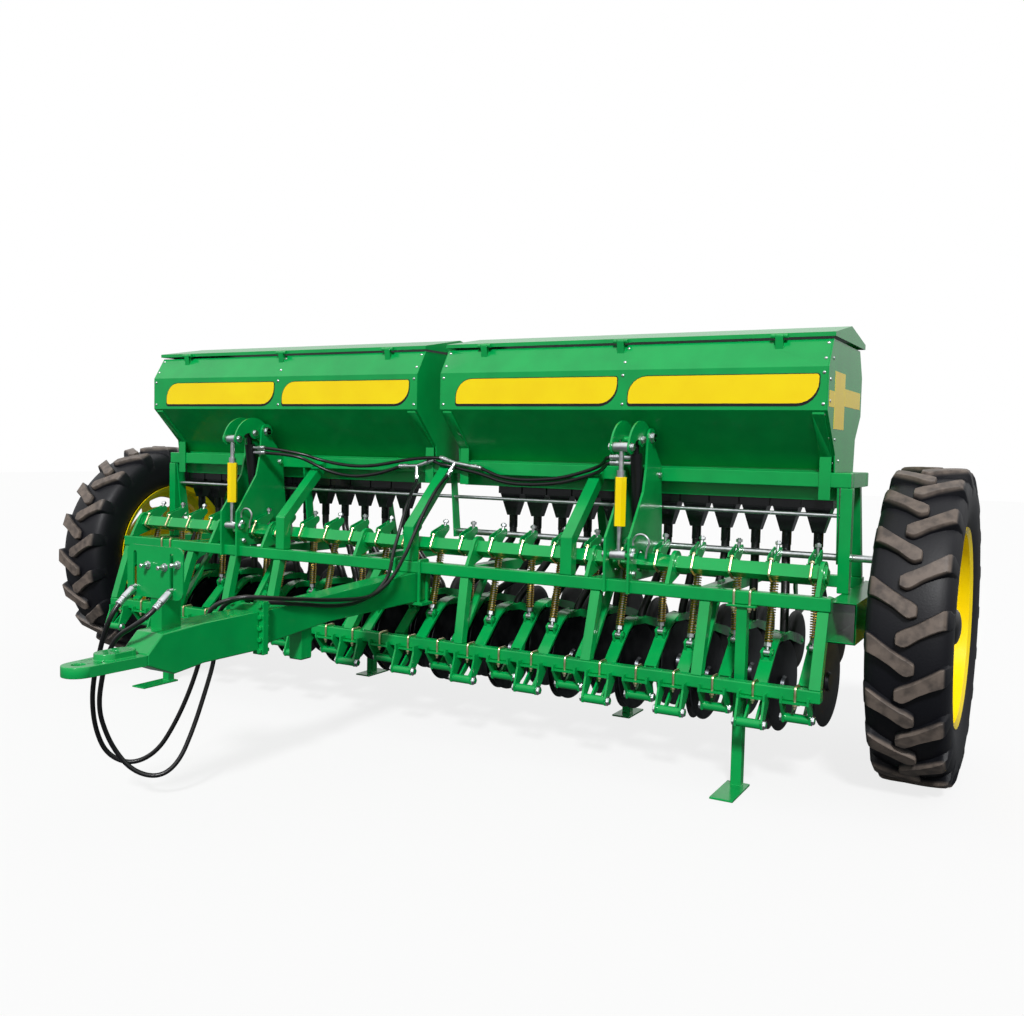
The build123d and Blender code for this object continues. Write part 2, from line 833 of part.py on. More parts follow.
for side_name, x in cyl_places.items():
    with BuildPart() as cylinder_barrel:
        round_x(x - cyl_eye_half, x + cyl_eye_half, cyl_pin_y, cyl_pin_z, cyl_eye_r)
        round_between(on_cylinder(x, 15), on_cylinder(x, cyl_barrel_from), cyl_neck_r)
        round_between(on_cylinder(x, cyl_barrel_from), on_cylinder(x, cyl_barrel_to), cyl_r)
        round_x(
            x - cyl_eye_half, x + cyl_eye_half, cyl_pin_y, cyl_pin_z, cyl_pin_r + crank_pin_gap, Mode.SUBTRACT
        )
        with BuildSketch(
            Plane(origin=on_cylinder(x, cyl_bore_from), z_dir=(0, cyl_dir[0], cyl_dir[1]))
        ) as bore:
            Circle(cyl_rod_r + seat_gap)
        extrude(bore.sketch, amount=cyl_barrel_to - cyl_bore_from, mode=Mode.SUBTRACT)
    save(cylinder_barrel, f"cylinder_barrel_{side_name}")
    with BuildPart() as cylinder_rod:
        round_between(
            on_cylinder(x, cyl_bore_from + 5), on_cylinder(x, cyl_length - clevis_end), cyl_rod_r
        )
        for x0 in (x - clevis_half, x + clevis_inner):
            side_plate(
                x0,
                clevis_half - clevis_inner,
                [
                    on_cylinder(x, cyl_length - clevis_end - 8, 13)[1:],
                    on_cylinder(x, cyl_length, 13)[1:],
                    on_cylinder(x, cyl_length, -13)[1:],
                    on_cylinder(x, cyl_length - clevis_end - 8, -13)[1:],
                ],
            )
            round_x(x0, x0 + clevis_half - clevis_inner, cyl_low_y, cyl_low_z, 13)
        side_plate(
            x - clevis_half,
            2 * clevis_half,
            [
                on_cylinder(x, cyl_length - clevis_end - 8, 13)[1:],
                on_cylinder(x, cyl_length - clevis_end + 6, 13)[1:],
                on_cylinder(x, cyl_length - clevis_end + 6, -13)[1:],
                on_cylinder(x, cyl_length - clevis_end - 8, -13)[1:],
            ],
        )
    save(cylinder_rod, f"cylinder_rod_{side_name}")

# Hoppers: folded front and rear sheets and two end panels each
hopper_section = [
    (bar_y + 550, 1066),
    (bar_y + 456, 1066),
    (bar_y + 452, 1182),
    (bar_y + 229, 1405),
    (bar_y + 229, 1565),
    (bar_y + 295, 1672),
]


def offset_in(points, wall):
    """The same fold line moved inwards by the wall, corner by corner."""
    moved = []
    for index, (y, z) in enumerate(points):
        normals = []
        for a, b in ((index - 1, index), (index, index + 1)):
            if a < 0 or b >= len(points):
                continue
            dy = points[b][0] - points[a][0]
            dz = points[b][1] - points[a][1]
            length = math.hypot(dy, dz)
            normals.append((dz / length, -dy / length))
        if len(normals) == 1:
            ny, nz = normals[0]
            moved.append((y + ny * wall, z + nz * wall))
            continue
        ny = normals[0][0] + normals[1][0]
        nz = normals[0][1] + normals[1][1]
        scale = 2 * wall / (ny * ny + nz * nz)
        moved.append((y + ny * scale, z + nz * scale))
    return moved


def mirrored(points):
    """The same side outline on the other side of the hopper's middle plane."""
    return [(2 * hopper_mid - y, z) for y, z in points]


front_fold = hopper_section + offset_in(hopper_section, hopper_wall)[::-1]
end_outline = hopper_section[1:] + mirrored(hopper_section[1:])[::-1]
sheet_starts = (-hopper_out + hopper_wall, hopper_in + hopper_wall)
sheet_length = hopper_out - hopper_in - 2 * hopper_wall
end_places = (-hopper_out, -hopper_in - hopper_wall, hopper_in, hopper_out - hopper_wall)
hinge_y = bar_y + 273
hinge_z = 1684
hinge_pin_r = 4
hinge_ring_r = 8
hinge_w = 30
hinge_places = [spread(side * place) for side in (-1, 1) for place in (260, 905, 1550)]
with BuildPart() as hopper_fronts:
    for x0 in sheet_starts:
        side_plate(x0, sheet_length, front_fold)
    for x in hinge_places:
        x0 = x - hinge_w / 2
        side_plate(
            x0,
            hinge_w,
            [
                (bar_y + 273, 1633),
                (bar_y + 292, 1664),
                (bar_y + 281, 1676),
                (bar_y + 279, 1688),
                (bar_y + 267, 1688),
                (bar_y + 265, 1682),
            ],
        )
        round_x(x0, x0 + hinge_w, hinge_y, hinge_z, hinge_ring_r)
        round_x(x0, x0 + hinge_w, hinge_y, hinge_z, hinge_pin_r + seat_gap, Mode.SUBTRACT)
save(hopper_fronts, "hopper_fronts")

with BuildPart() as hopper_rears:
    for x0 in sheet_starts:
        side_plate(x0, sheet_length, mirrored(front_fold))
save(hopper_rears, "hopper_rears")

end_feet = (
    [
        (front_rail_y + 4, rail_top),
        (front_rail_y + 58, rail_top),
        (bar_y + 470, 1240),
        (bar_y + 393, 1241),
    ],
    [
        (rear_rail_y - 65, rail_top),
        (bar_y + 758, rail_top),
        (bar_y + 772, 1304),
        (bar_y + 640, 1240),
    ],
)
with BuildPart() as hopper_ends:
    for x0 in end_places:
        side_plate(x0, hopper_wall, end_outline)
        for foot in end_feet:
            side_plate(x0, hopper_wall, foot)
save(hopper_ends, "hopper_ends")

# Lids: folded gable sheets, hinged along their front edge
lid_front_y = bar_y + 283
lid_low_z = 1680
lid_front_h = 16
knuckle_gap = 1
knuckle_w = 15
lid_ridge = (bar_y + 575, 1748)
lid_rear = (bar_y + 873, 1704)
lid_lip = 20
lid_in_over = 6
lid_out_over = 8


def lid(x0, length):
    """One gable lid with closed ends and the outer knuckles of its hinges, from x0 along X."""
    outer = [
        (lid_front_y, lid_low_z),
        (lid_front_y, lid_low_z + lid_front_h),
        lid_ridge,
        lid_rear,
        (lid_rear[0], lid_rear[1] - lid_lip),
    ]
    inner = [
        (lid_rear[0] - lid_t, lid_rear[1] - lid_lip),
        (lid_rear[0] - lid_t, lid_rear[1] - lid_t),
        (lid_ridge[0], lid_ridge[1] - lid_t),
        (lid_front_y + lid_t, lid_low_z + lid_front_h - lid_t),
        (lid_front_y + lid_t, lid_low_z),
    ]
    side_plate(x0, length, outer + inner)
    gable = [
        (lid_front_y + 2, lid_low_z + lid_front_h - 2),
        (lid_ridge[0], lid_ridge[1] - 2),
        (lid_rear[0] - 2, lid_rear[1] - 2),
        (lid_rear[0] - 2, lid_rear[1] - lid_lip),
        (lid_front_y + 2, lid_low_z),
    ]
    for x in (x0, x0 + length - lid_t):
        side_plate(x, lid_t, gable)
    for x in hinge_places:
        if x0 < x < x0 + length:
            reach = hinge_w / 2 + knuckle_gap + knuckle_w
            round_x(x - reach, x + reach, hinge_y, hinge_z, hinge_pin_r)
            for start in (x - reach, x + reach - knuckle_w):
                round_x(start, start + knuckle_w, hinge_y, hinge_z, hinge_ring_r)
                block(start, start + knuckle_w, hinge_y, lid_front_y + 1, hinge_z - 4, hinge_z + 6)


lid_length = hopper_out - hopper_in + lid_in_over + lid_out_over
with BuildPart() as lid_right:
    lid(hopper_in - lid_in_over, lid_length)
save(lid_right, "lid_right")

with BuildPart() as lid_left:
    lid(-hopper_out - lid_out_over, lid_length)
save(lid_left, "lid_left")

# Straps that pull the hoppers down to the front rail, flat on the sloping panel and on the rail's face
strap_w = 44
strap_t = 6
strap_places = (97 - rail_half, -hopper_in - 34, hopper_in + 34, rail_half - 97)
slope = math.sqrt(0.5)
panel_y = bar_y + 229
panel_z = 1405
strap_y = front_rail_y - seat_gap
strap_low = 1070
strap_bend_z = panel_z - (strap_y - strap_t - panel_y)


def under_panel(y, gap):
    """A point below the sloping front panel at a fore-and-aft place, a gap away from it."""
    return (y, panel_z - (y - panel_y) - gap / slope)


with BuildPart() as hopper_straps:
    for x in strap_places:
        side_plate(
            x - strap_w / 2,
            strap_w,
            [
                under_panel(panel_y + 6, seat_gap),
                under_panel(strap_y, seat_gap),
                (strap_y, strap_low),
                (strap_y - strap_t, strap_low),
                under_panel(strap_y - strap_t, strap_t),
                under_panel(panel_y + 6, strap_t),
            ],
        )
save(hopper_straps, "hopper_straps")

# Seed meters: a block under the trough, a funnel and a spout for each row
meter_first = hopper_out - 72
meter_last = 300
meter_pitch = (meter_first - meter_last) / (row_count / 2 - 1)
meter_y = bar_y + 500
meter_top = 1066
meter_h = 32
funnel_z = 935
funnel_low = 880
funnel_neck = 44
spout_r = 19
meter_half_w = 59
meter_half_d = 40
meter_places = [
    side * (meter_first - meter_pitch * number) for side in (1, -1) for number in range(row_count // 2)
]
with BuildPart() as seed_meter:
    block(
        -meter_half_w,
        meter_half_w,
        meter_y - meter_half_d,
        meter_y + meter_half_d,
        meter_top - meter_h,
        meter_top,
    )
    leaning_post(
        (0, meter_y, funnel_z),
        (0, meter_y, meter_top - meter_h),
        (funnel_neck, funnel_neck),
        (2 * meter_half_w - 16, 2 * meter_half_d - 8),
    )
    round_z(0, meter_y, funnel_low, funnel_z, spout_r)
with BuildPart() as seed_meters:
    copies(seed_meter, meter_places)
save(seed_meters, "seed_meters")

# Meter shaft, drive shaft with its sprocket, their hangers, and the chain from the right wheel's hub
meter_rod_r = 8
meter_rod_y = bar_y + 428
meter_rod_z = 1010
drive_r = 14
drive_y = bar_y + 460
drive_z = 848
chain_x = frame_half + 125
chain_w = 14
sprocket_top_r = 70
sprocket_low_r = 58
sprocket_t = 10
chain_t = 12
hanger_t = 8
hanger_places = (28 - frame_half, spread(-862), 22, spread(862), frame_half - 28)
with BuildPart() as meter_shafts:
    round_x(-hanger_places[-1] - 10, hanger_places[-1] + 10, meter_rod_y, meter_rod_z, meter_rod_r)
    round_x(hanger_places[2] - 10, chain_x + 12, drive_y, drive_z, drive_r)
    round_x(chain_x - sprocket_t / 2, chain_x + sprocket_t / 2, drive_y, drive_z, sprocket_top_r)
save(meter_shafts, "meter_shafts")

with BuildPart() as shaft_hanger:
    side_plate(
        -hanger_t / 2,
        hanger_t,
        [
            (front_rail_y + 2, rail_bottom),
            (front_rail_y + 44, rail_bottom),
            (drive_y + 26, drive_z - 26),
            (drive_y - 26, drive_z - 26),
        ],
    )
    for y, z, radius in ((meter_rod_y, meter_rod_z, meter_rod_r), (drive_y, drive_z, drive_r)):
        round_x(-hanger_t / 2, hanger_t / 2, y, z, radius + seat_gap, Mode.SUBTRACT)
with BuildPart() as shaft_hangers:
    copies(shaft_hanger, hanger_places)
save(shaft_hangers, "shaft_hangers")

chain_run = math.hypot(wheel_y - drive_y, tyre_r - drive_z)
chain_angle = math.degrees(math.atan2(tyre_r - drive_z, wheel_y - drive_y))
chain_wrap = math.degrees(math.acos((sprocket_top_r - sprocket_low_r) / chain_run))


def chain_loop(extra):
    """The face inside a belt line around both sprockets, grown by extra."""
    top_r = sprocket_top_r + extra
    low_r = sprocket_low_r + extra
    top_a = turned(top_r, 0, chain_angle + chain_wrap, drive_y, drive_z)
    low_a = turned(low_r, 0, chain_angle + chain_wrap, wheel_y, tyre_r)
    top_b = turned(top_r, 0, chain_angle - chain_wrap, drive_y, drive_z)
    low_b = turned(low_r, 0, chain_angle - chain_wrap, wheel_y, tyre_r)
    with BuildSketch(Plane.YZ.offset(chain_x - chain_w / 2)) as face:
        with BuildLine():
            Line(top_a, low_a)
            ThreePointArc(low_a, turned(low_r, 0, chain_angle, wheel_y, tyre_r), low_b)
            Line(low_b, top_b)
            ThreePointArc(top_b, turned(top_r, 0, chain_angle + 180, drive_y, drive_z), top_a)
        make_face()
    return face.sketch


with BuildPart() as drive_chain:
    extrude(chain_loop(seat_gap + chain_t), amount=chain_w)
    extrude(chain_loop(seat_gap), amount=chain_w, mode=Mode.SUBTRACT)
save(drive_chain, "drive_chain")

# Footboard at the rear, and its brackets on the rear beam
board_y0 = rear_beam_y + 120
board_y1 = board_y0 + 210
board_z = 560
board_t = 30
board_half = frame_half - 100
board_places = [spread(x) for x in (-1500, -500, 500, 1500)]
bracket_t = 10
with BuildPart() as footboard:
    block(-board_half, board_half, board_y0, board_y1, board_z, board_z + board_t)
save(footboard, "footboard")

with BuildPart() as footboard_brackets:
    for x in board_places:
        side_plate(
            x - bracket_t / 2,
            bracket_t,
            [
                (rear_beam_y + front_bar, front_bar_top),
                (rear_beam_y + front_bar, front_bar_bottom - 20),
                (board_y0, board_z - 40),
                (board_y1 - 20, board_z - 10),
                (board_y1, board_z),
                (board_y0, board_z),
                (rear_beam_y + front_bar + 40, front_bar_top - 30),
            ],
        )
save(footboard_brackets, "footboard_brackets")

# Openers. Each piece is made once at x = 0 around the front row's pivot, then copied to its places.
band_r = 200
band_end = 75
band_half = 25
band_t = 10
cheek_t = 8
shank_half = 6
hub_barrel_r = 24
hub_barrel_half = 18
arm_pin_r = 8
arm_pin_gap = 0.3
disc_gap = 20
disc_toe = 4
press_half = 20
pivot_y = front_pivot_y
pivot_z = front_pivot_z
hub_y = pivot_y + hub_dy
hub_z = pivot_z + hub_dz
clevis_y = pivot_y + clevis_dy
clevis_z = pivot_z + clevis_dz
press_y = pivot_y + press_dy
press_z = pivot_z + press_dz
boot_y = pivot_y + boot_dy
boot_z = pivot_z + boot_dz
hub_reach = math.hypot(hub_dy, hub_dz)
band_lift = math.degrees(math.asin(band_r / hub_reach) + math.atan2(hub_dz, hub_dy))
band_run = math.sqrt(hub_reach * hub_reach - band_r * band_r)


def on_arm(along, above):
    """A point on the arm's straight part, a distance from the pivot and above the line."""
    return turned(along, above, band_lift, pivot_y, pivot_z)


with BuildPart() as opener_arm:
    with BuildSketch(Plane.YZ.offset(-band_half)) as band:
        with BuildLine() as path:
            Line(on_arm(140, 0), on_arm(band_run, 0))
            ThreePointArc(
                on_arm(band_run, 0),
                turned(band_r, 0, (band_lift + 90 + band_end) / 2, hub_y, hub_z),
                turned(band_r, 0, band_end, hub_y, hub_z),
            )
        trace(path.line, line_width=band_t)
    extrude(band.sketch, amount=2 * band_half)
    tube_half = ear_x - seat_gap
    round_x(-tube_half, tube_half, pivot_y, pivot_z, pivot_tube_r)
    for x0 in (-band_half, band_half - cheek_t):
        side_plate(
            x0,
            cheek_t,
            [
                on_arm(0, -15),
                on_arm(60, -24),
                on_arm(150, -22),
                on_arm(180, -4),
                on_arm(180, 3),
                on_arm(100, 2),
                on_arm(0, 2),
            ],
        )
    side_plate(
        -shank_half,
        2 * shank_half,
        [(hub_y - 18, hub_z), (hub_y + 18, hub_z), (hub_y + 23, hub_z + 197), (hub_y - 27, hub_z + 197)],
    )
    side_plate(
        -shank_half,
        2 * shank_half,
        [(hub_y + 10, hub_z + 24), (boot_y - 21.5, hub_z + 24), (boot_y - 21.5, hub_z + 64), (hub_y + 10, hub_z + 64)],
    )
    round_x(-hub_barrel_half, hub_barrel_half, hub_y, hub_z, hub_barrel_r)
    for x0 in (-20, 12):
        side_plate(x0, cheek_t, [on_arm(277, 0), on_arm(329, 0), on_arm(315, 33), on_arm(291, 33)])
    round_x(-24, 24, clevis_y, clevis_z, arm_pin_r)
    for x0 in (-band_half - 6, band_half):
        side_plate(
            x0,
            6,
            [
                (hub_y - 55, hub_z + 180),
                (hub_y - 55, hub_z + 198),
                (hub_y + 60, hub_z + 203),
                (press_y - 70, press_z + 40),
                (press_y + 8, press_z + 16),
                (press_y + 16, press_z),
                (press_y + 8, press_z - 14),
                (press_y - 20, press_z - 14),
                (hub_y + 55, hub_z + 172),
            ],
        )
    round_x(-36, 36, press_y, press_z, arm_pin_r)
    round_x(-ear_x, ear_x, pivot_y, pivot_z, pivot_bolt_r + arm_pin_gap, Mode.SUBTRACT)

cap_r = 38
cap_h = 12
boot_w = 18
boot_socket_r = 24
boot_socket_h = 55
with BuildPart() as disc_opener:
    for side in (-1, 1):
        toe = math.radians(disc_toe)
        plane = Plane(
            origin=(side * (disc_gap + seat_gap), hub_y, hub_z),
            z_dir=(side * math.cos(toe), -math.sin(toe), 0),
        )
        with BuildSketch(plane) as disc:
            Circle(disc_r)
        extrude(disc.sketch, amount=disc_t)
        with BuildSketch(plane.offset(disc_t)) as cap:
            Circle(cap_r)
        extrude(cap.sketch, amount=cap_h, taper=25)
    round_z(0, boot_y, boot_z - boot_socket_h, boot_z, boot_socket_r)
    side_plate(
        -boot_w / 2,
        boot_w,
        [
            (boot_y - 18, boot_z - boot_socket_h),
            (boot_y + 18, boot_z - boot_socket_h),
            (boot_y + 4, boot_z - 290),
            (boot_y - 30, boot_z - 290),
        ],
    )

with BuildPart() as press_wheel:
    round_x(-press_half, press_half, press_y, press_z, press_r)
    round_x(-press_half, press_half, press_y, press_z, arm_pin_r + arm_pin_gap, Mode.SUBTRACT)

opener_pieces = (("opener_arms", opener_arm), ("disc_openers", disc_opener), ("press_wheels", press_wheel))
for row_name, row_places in (("front", front_places), ("rear", rear_places)):
    for piece_name, single in opener_pieces:
        with BuildPart() as row_piece:
            copies(single, row_places)
        save(row_piece, f"{piece_name}_{row_name}")

# Spring rods between each opener's clevis and its fork, with their springs
spring_rod_r = 7
rod_eye_r = 12
rod_eye_half = 11.5
spring_r = 17
spring_low = 38
spring_top_gap = 58
cap_t = 6
rod_over = 40
head_low = 24
head_h = 12
for row_name, rows, dy, dz in (
    ("front", front_rows, 0, 0),
    ("rear", rear_rows, rear_row_dy, rear_row_dz),
):
    low = Vector(0, clevis_y + dy, clevis_z + dz)
    high = Vector(0, fork_y, fork_z)
    along = (high - low).normalized()
    with BuildPart() as spring_rod:
        round_x(-rod_eye_half, rod_eye_half, low.Y, low.Z, rod_eye_r)
        for start, end, radius in (
            (low, high + along * rod_over, spring_rod_r),
            (low + along * 22, low + along * spring_low, 14),
            (high - along * spring_top_gap, high - along * (spring_top_gap - cap_t), 19),
            (high + along * head_low, high + along * (head_low + head_h), 12),
        ):
            round_between(tuple(start), tuple(end), radius)
        round_x(-rod_eye_half, rod_eye_half, low.Y, low.Z, arm_pin_r + arm_pin_gap, Mode.SUBTRACT)
    start = low + along * (spring_low + seat_gap)
    end = high - along * (spring_top_gap + seat_gap)
    with BuildPart() as spring:
        with BuildSketch(Plane(origin=tuple(start), z_dir=tuple(along))) as ring:
            Circle(spring_r)
            Circle(spring_rod_r + 2, mode=Mode.SUBTRACT)
        extrude(ring.sketch, amount=(end - start).length)
    with BuildPart() as spring_rods:
        copies(spring_rod, rows)
        copies(spring, rows)
    save(spring_rods, f"spring_rods_{row_name}")

# Seed tubes from the spouts down to the boots. Those of the rows at 1.5 and 5.5 pitches step sideways to
# pass the frame members: half pitches, then the place across and the height of the bend.
tube_r = 17
tube_bend_z = 700
tube_steps = {3: (352, 664), 11: (846, 752)}
meter_row = dict(zip(all_rows, sorted(meter_places)))


def bend_radii(points):
    """A radius for each inner corner that leaves some straight run on both sides."""
    radii = []
    for before, corner, after in zip(points, points[1:], points[2:]):
        run_in = Vector(*corner) - Vector(*before)
        run_out = Vector(*after) - Vector(*corner)
        half_turn = math.radians(run_in.get_angle(run_out)) / 2
        shorter = min(run_in.length, run_out.length)
        radii.append(min(0.45 * shorter / math.tan(half_turn), 4 * shorter) if half_turn > 0.001 else 0)
    return radii


def hose(points, radius):
    """A round hose along a rounded path."""
    with BuildLine() as path:
        FilletPolyline(*points, radius=bend_radii(points))
    start = Vector(*points[1]) - Vector(*points[0])
    with BuildSketch(Plane(origin=points[0], z_dir=start)) as section:
        Circle(radius)
    sweep(section.sketch, path=path.line)


with BuildPart() as seed_tubes:
    for x in all_rows:
        dy = 0 if x in front_rows else rear_row_dy
        dz = 0 if x in front_rows else rear_row_dz
        foot = (x, boot_y + dy, boot_z + dz + seat_gap)
        straight = meter_row[x] + (x - meter_row[x]) * 0.45
        step_x, bend_z = tube_steps.get(round(2 * abs(x) / row_pitch), (abs(straight), tube_bend_z))
        bend_x = math.copysign(step_x, x)
        bend_y = meter_y + (foot[1] - meter_y) * 0.4
        hose(
            [
                (meter_row[x], meter_y, funnel_low - seat_gap),
                (meter_row[x], meter_y, funnel_low - 50),
                (bend_x, bend_y, bend_z),
                (x, foot[1], foot[2] + 70),
                foot,
            ],
            tube_r,
        )
save(seed_tubes, "seed_tubes")

# Hoses: two free loops in front of the drawbar, then two held along it and up to the cylinders
hose_r = 8
coupler_r = 12
coupler_tip = (hose_plate_y - 44, 732)
coupler_neck_r = 7.5
coupler_z = 764
free_hose_points = (
    (
        (-104, -1114.3, 731.7),
        (-104, -1156, 698),
        (-140, -1165, 610),
        (-185, -1145, 540),
        (-232, -1125, 470),
        (-276, -1100, 370),
        (-303, -1065, 260),
        (-296, -1025, 165),
        (-240, -970, 125),
        (-175, -915, 165),
        (-135, -870, 264),
        (-105, -830, 380),
        (-84, -800, 500),
        (-82, -785, 600),
        (-64, -774, 674),
        (-12, -735, 690),
    ),
    (
        (62, -1114.3, 731.7),
        (62, -1152, 701),
        (24, -1182, 664),
        (-46, -1190, 626),
        (-120, -1170, 545),
        (-185, -1135, 455),
        (-235, -1105, 375),
        (-262, -1075, 300),
        (-260, -1030, 195),
        (-216, -985, 110),
        (-150, -930, 84),
        (-108, -880, 130),
        (-92, -830, 240),
        (-88, -780, 360),
        (-88, -735, 470),
        (-88, -725, 590),
        (-66, -722, 676),
        (12, -705, 694),
    ),
)
with BuildPart() as free_hoses:
    for points in free_hose_points:
        hose(points, hose_r)
save(free_hoses, "free_hoses")

with BuildPart() as hose_fittings:
    for x in slot_places:
        round_between((x, hose_plate_y + 25, coupler_z), (x, hose_plate_y - 14, coupler_z), coupler_neck_r)
        round_between((x, hose_plate_y - 10, coupler_z - 6), (x, *coupler_tip), coupler_r)
save(hose_fittings, "hose_fittings")

# Wheels
side_wall = tyre_w / 2
tread_half = 119
sprocket_hub_r = 48
with BuildPart() as axle_stubs:
    for side in (-1, 1):
        ends = sorted((side * (side_beam_x + side_beam_w), side * (wheel_x + 60)))
        round_x(*ends, wheel_y, tyre_r, axle_r)
save(axle_stubs, "axle_stubs")


def wheel_plane(side):
    """A plane whose Z points outwards along the axle."""
    return Plane(origin=(side * wheel_x, wheel_y, tyre_r), x_dir=(0, 1, 0), z_dir=(side, 0, 0))


def ring_solid(plane, points):
    """A ring turned about the plane's Z axis from its (radius, height) outline."""
    section = Plane(origin=plane.origin, x_dir=plane.x_dir, z_dir=-plane.y_dir)
    with BuildSketch(section) as outline:
        with BuildLine():
            Polyline(*points, close=True)
        make_face()
    revolve(outline.sketch, axis=Axis(plane.origin, plane.z_dir))


tyre_points = [
    (rim_r + 4, -100),
    (rim_r + 40, -124),
    (480, -side_wall),
    (545, -136),
    (592, -tread_half),
    (tyre_r, -90),
    (tyre_r, 90),
    (592, tread_half),
    (545, 136),
    (480, side_wall),
    (rim_r + 40, 124),
    (rim_r + 4, 100),
]
rim_points = [
    (rim_r + 24, -rim_w / 2),
    (rim_r + 2, -rim_w / 2 + 10),
    (rim_r - 2, -60),
    (rim_r - 40, -40),
    (rim_r - 40, 40),
    (rim_r - 2, 60),
    (rim_r + 2, rim_w / 2 - 10),
    (rim_r + 24, rim_w / 2),
    (rim_r + 24, rim_w / 2 - 6),
    (rim_r + 3.7, 102),
    (rim_r + 3.7, -102),
    (rim_r + 24, -rim_w / 2 + 6),
]
rim_openings = 5
opening_circle_r = 212
opening_r = 62
disc_plate_t = 10
for side_name, side in (("right", 1), ("left", -1)):
    plane = wheel_plane(side)
    with BuildPart() as tyre:
        ring_solid(plane, tyre_points)
    save(tyre, f"tyre_{side_name}")
    with BuildPart() as rim:
        ring_solid(plane, rim_points)
        with BuildSketch(plane.offset(disc_plate_t)) as centre:
            Circle(rim_r - 36)
            Circle(hub_r + seat_gap, mode=Mode.SUBTRACT)
            with PolarLocations(opening_circle_r, rim_openings):
                Circle(opening_r, mode=Mode.SUBTRACT)
        extrude(centre.sketch, amount=disc_plate_t)
    save(rim, f"rim_{side_name}")
    with BuildPart() as wheel_hub:
        with BuildSketch(plane.offset(-60)) as barrel:
            Circle(hub_r)
        extrude(barrel.sketch, amount=150)
        if side > 0:
            round_x(chain_x - 7, wheel_x - 60, wheel_y, tyre_r, sprocket_hub_r)
            round_x(
                chain_x - sprocket_t / 2, chain_x + sprocket_t / 2, wheel_y, tyre_r, sprocket_low_r
            )
        bore_ends = sorted((side * (chain_x - 20), side * (wheel_x + 65)))
        round_x(*bore_ends, wheel_y, tyre_r, axle_r + seat_gap, Mode.SUBTRACT)
    save(wheel_hub, f"wheel_hub_{side_name}")
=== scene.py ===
# %% [markdown]
# # A trailed seed drill
# The solid parts of this machine come from a CAD model, packed as a fixed frame. This script dresses them:
# it gives each surface its finish and adds what is too fine for the solids, such as coiled springs, round
# U-bolts, nuts, chain links and hoses. Everything is in metres, X across the machine, -Y the way it travels.

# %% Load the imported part
import json
import math

import bpy
import numpy as np
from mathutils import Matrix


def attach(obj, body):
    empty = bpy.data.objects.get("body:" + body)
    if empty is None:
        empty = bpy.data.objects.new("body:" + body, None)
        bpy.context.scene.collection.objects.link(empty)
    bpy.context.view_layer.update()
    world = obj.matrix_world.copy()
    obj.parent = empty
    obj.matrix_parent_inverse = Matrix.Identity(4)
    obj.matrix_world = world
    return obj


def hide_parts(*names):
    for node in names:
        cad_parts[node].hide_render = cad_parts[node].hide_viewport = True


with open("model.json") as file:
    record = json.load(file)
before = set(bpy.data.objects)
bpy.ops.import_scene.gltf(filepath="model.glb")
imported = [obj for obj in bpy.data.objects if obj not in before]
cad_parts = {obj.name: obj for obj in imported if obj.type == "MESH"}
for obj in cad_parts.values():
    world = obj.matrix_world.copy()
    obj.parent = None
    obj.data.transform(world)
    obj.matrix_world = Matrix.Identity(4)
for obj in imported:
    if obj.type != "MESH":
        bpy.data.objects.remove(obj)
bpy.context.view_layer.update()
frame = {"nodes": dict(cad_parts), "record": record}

# %% [markdown]
# ## Camera
# The photographer stood right of the machine's front and held the camera a little off level. The place and
# the three turns were found from edges whose real places are known, so the render lines up with the photo.

# %% Camera
camera_place = np.array([2.548, -3.338, 1.2407])
yaw, pitch, roll = 0.5066, 0.0590, 0.0230
picture_w, focal_px, sensor_w = 1024, 1013.3, 36.0

ahead = np.array([-math.sin(yaw) * math.cos(pitch), math.cos(yaw) * math.cos(pitch), -math.sin(pitch)])
level = np.array([math.cos(yaw), math.sin(yaw), 0.0])
above = np.cross(level, ahead)
side_axis = math.cos(roll) * level + math.sin(roll) * above
top_axis = -math.sin(roll) * level + math.cos(roll) * above

lens = bpy.data.cameras.new("camera")
lens.sensor_width = sensor_w
lens.lens = focal_px * sensor_w / picture_w
camera = bpy.data.objects.new("camera", lens)
bpy.context.scene.collection.objects.link(camera)
turn = np.eye(4)
turn[:3, 0], turn[:3, 1], turn[:3, 2], turn[:3, 3] = side_axis, top_axis, -ahead, camera_place
camera.matrix_world = turn.T
bpy.context.scene.camera = camera
print("lens", round(lens.lens, 2), "mm")

# %% [markdown]
# ## Nodes and colours
# A material is a small graph of nodes. One function adds any node with its settings and links, and one turns
# the hex colours that painters use into the linear numbers that the renderer needs.

# %% Node and colour helpers


def linear(code, alpha=1.0):
    """A hex colour as linear RGBA: each share c is c/12.92 below 0.04045, else ((c+0.055)/1.055) to the 2.4."""
    shares = np.array([int(code[i : i + 2], 16) / 255 for i in (1, 3, 5)])
    shares = np.where(shares < 0.04045, shares / 12.92, ((shares + 0.055) / 1.055) ** 2.4)
    return (*[float(share) for share in shares], alpha)


def node(tree, kind, settings=None, inputs=None):
    """Adds a node. Settings are its own properties; an input is a value, or another node's output socket."""
    made = tree.nodes.new(kind)
    for name, value in (settings or {}).items():
        setattr(made, name, value)
    for name, value in (inputs or {}).items():
        if isinstance(value, bpy.types.NodeSocket):
            tree.links.new(value, made.inputs[name])
        else:
            made.inputs[name].default_value = value
    return made


def ramp(tree, factor, stops):
    """A colour ramp over a factor, from (place, hex colour) stops."""
    made = node(tree, "ShaderNodeValToRGB", inputs={"Fac": factor})
    while len(made.color_ramp.elements) < len(stops):
        made.color_ramp.elements.new(0.5)
    for element, (place, code) in zip(made.color_ramp.elements, stops):
        element.position = place
        element.color = linear(code)
    return made


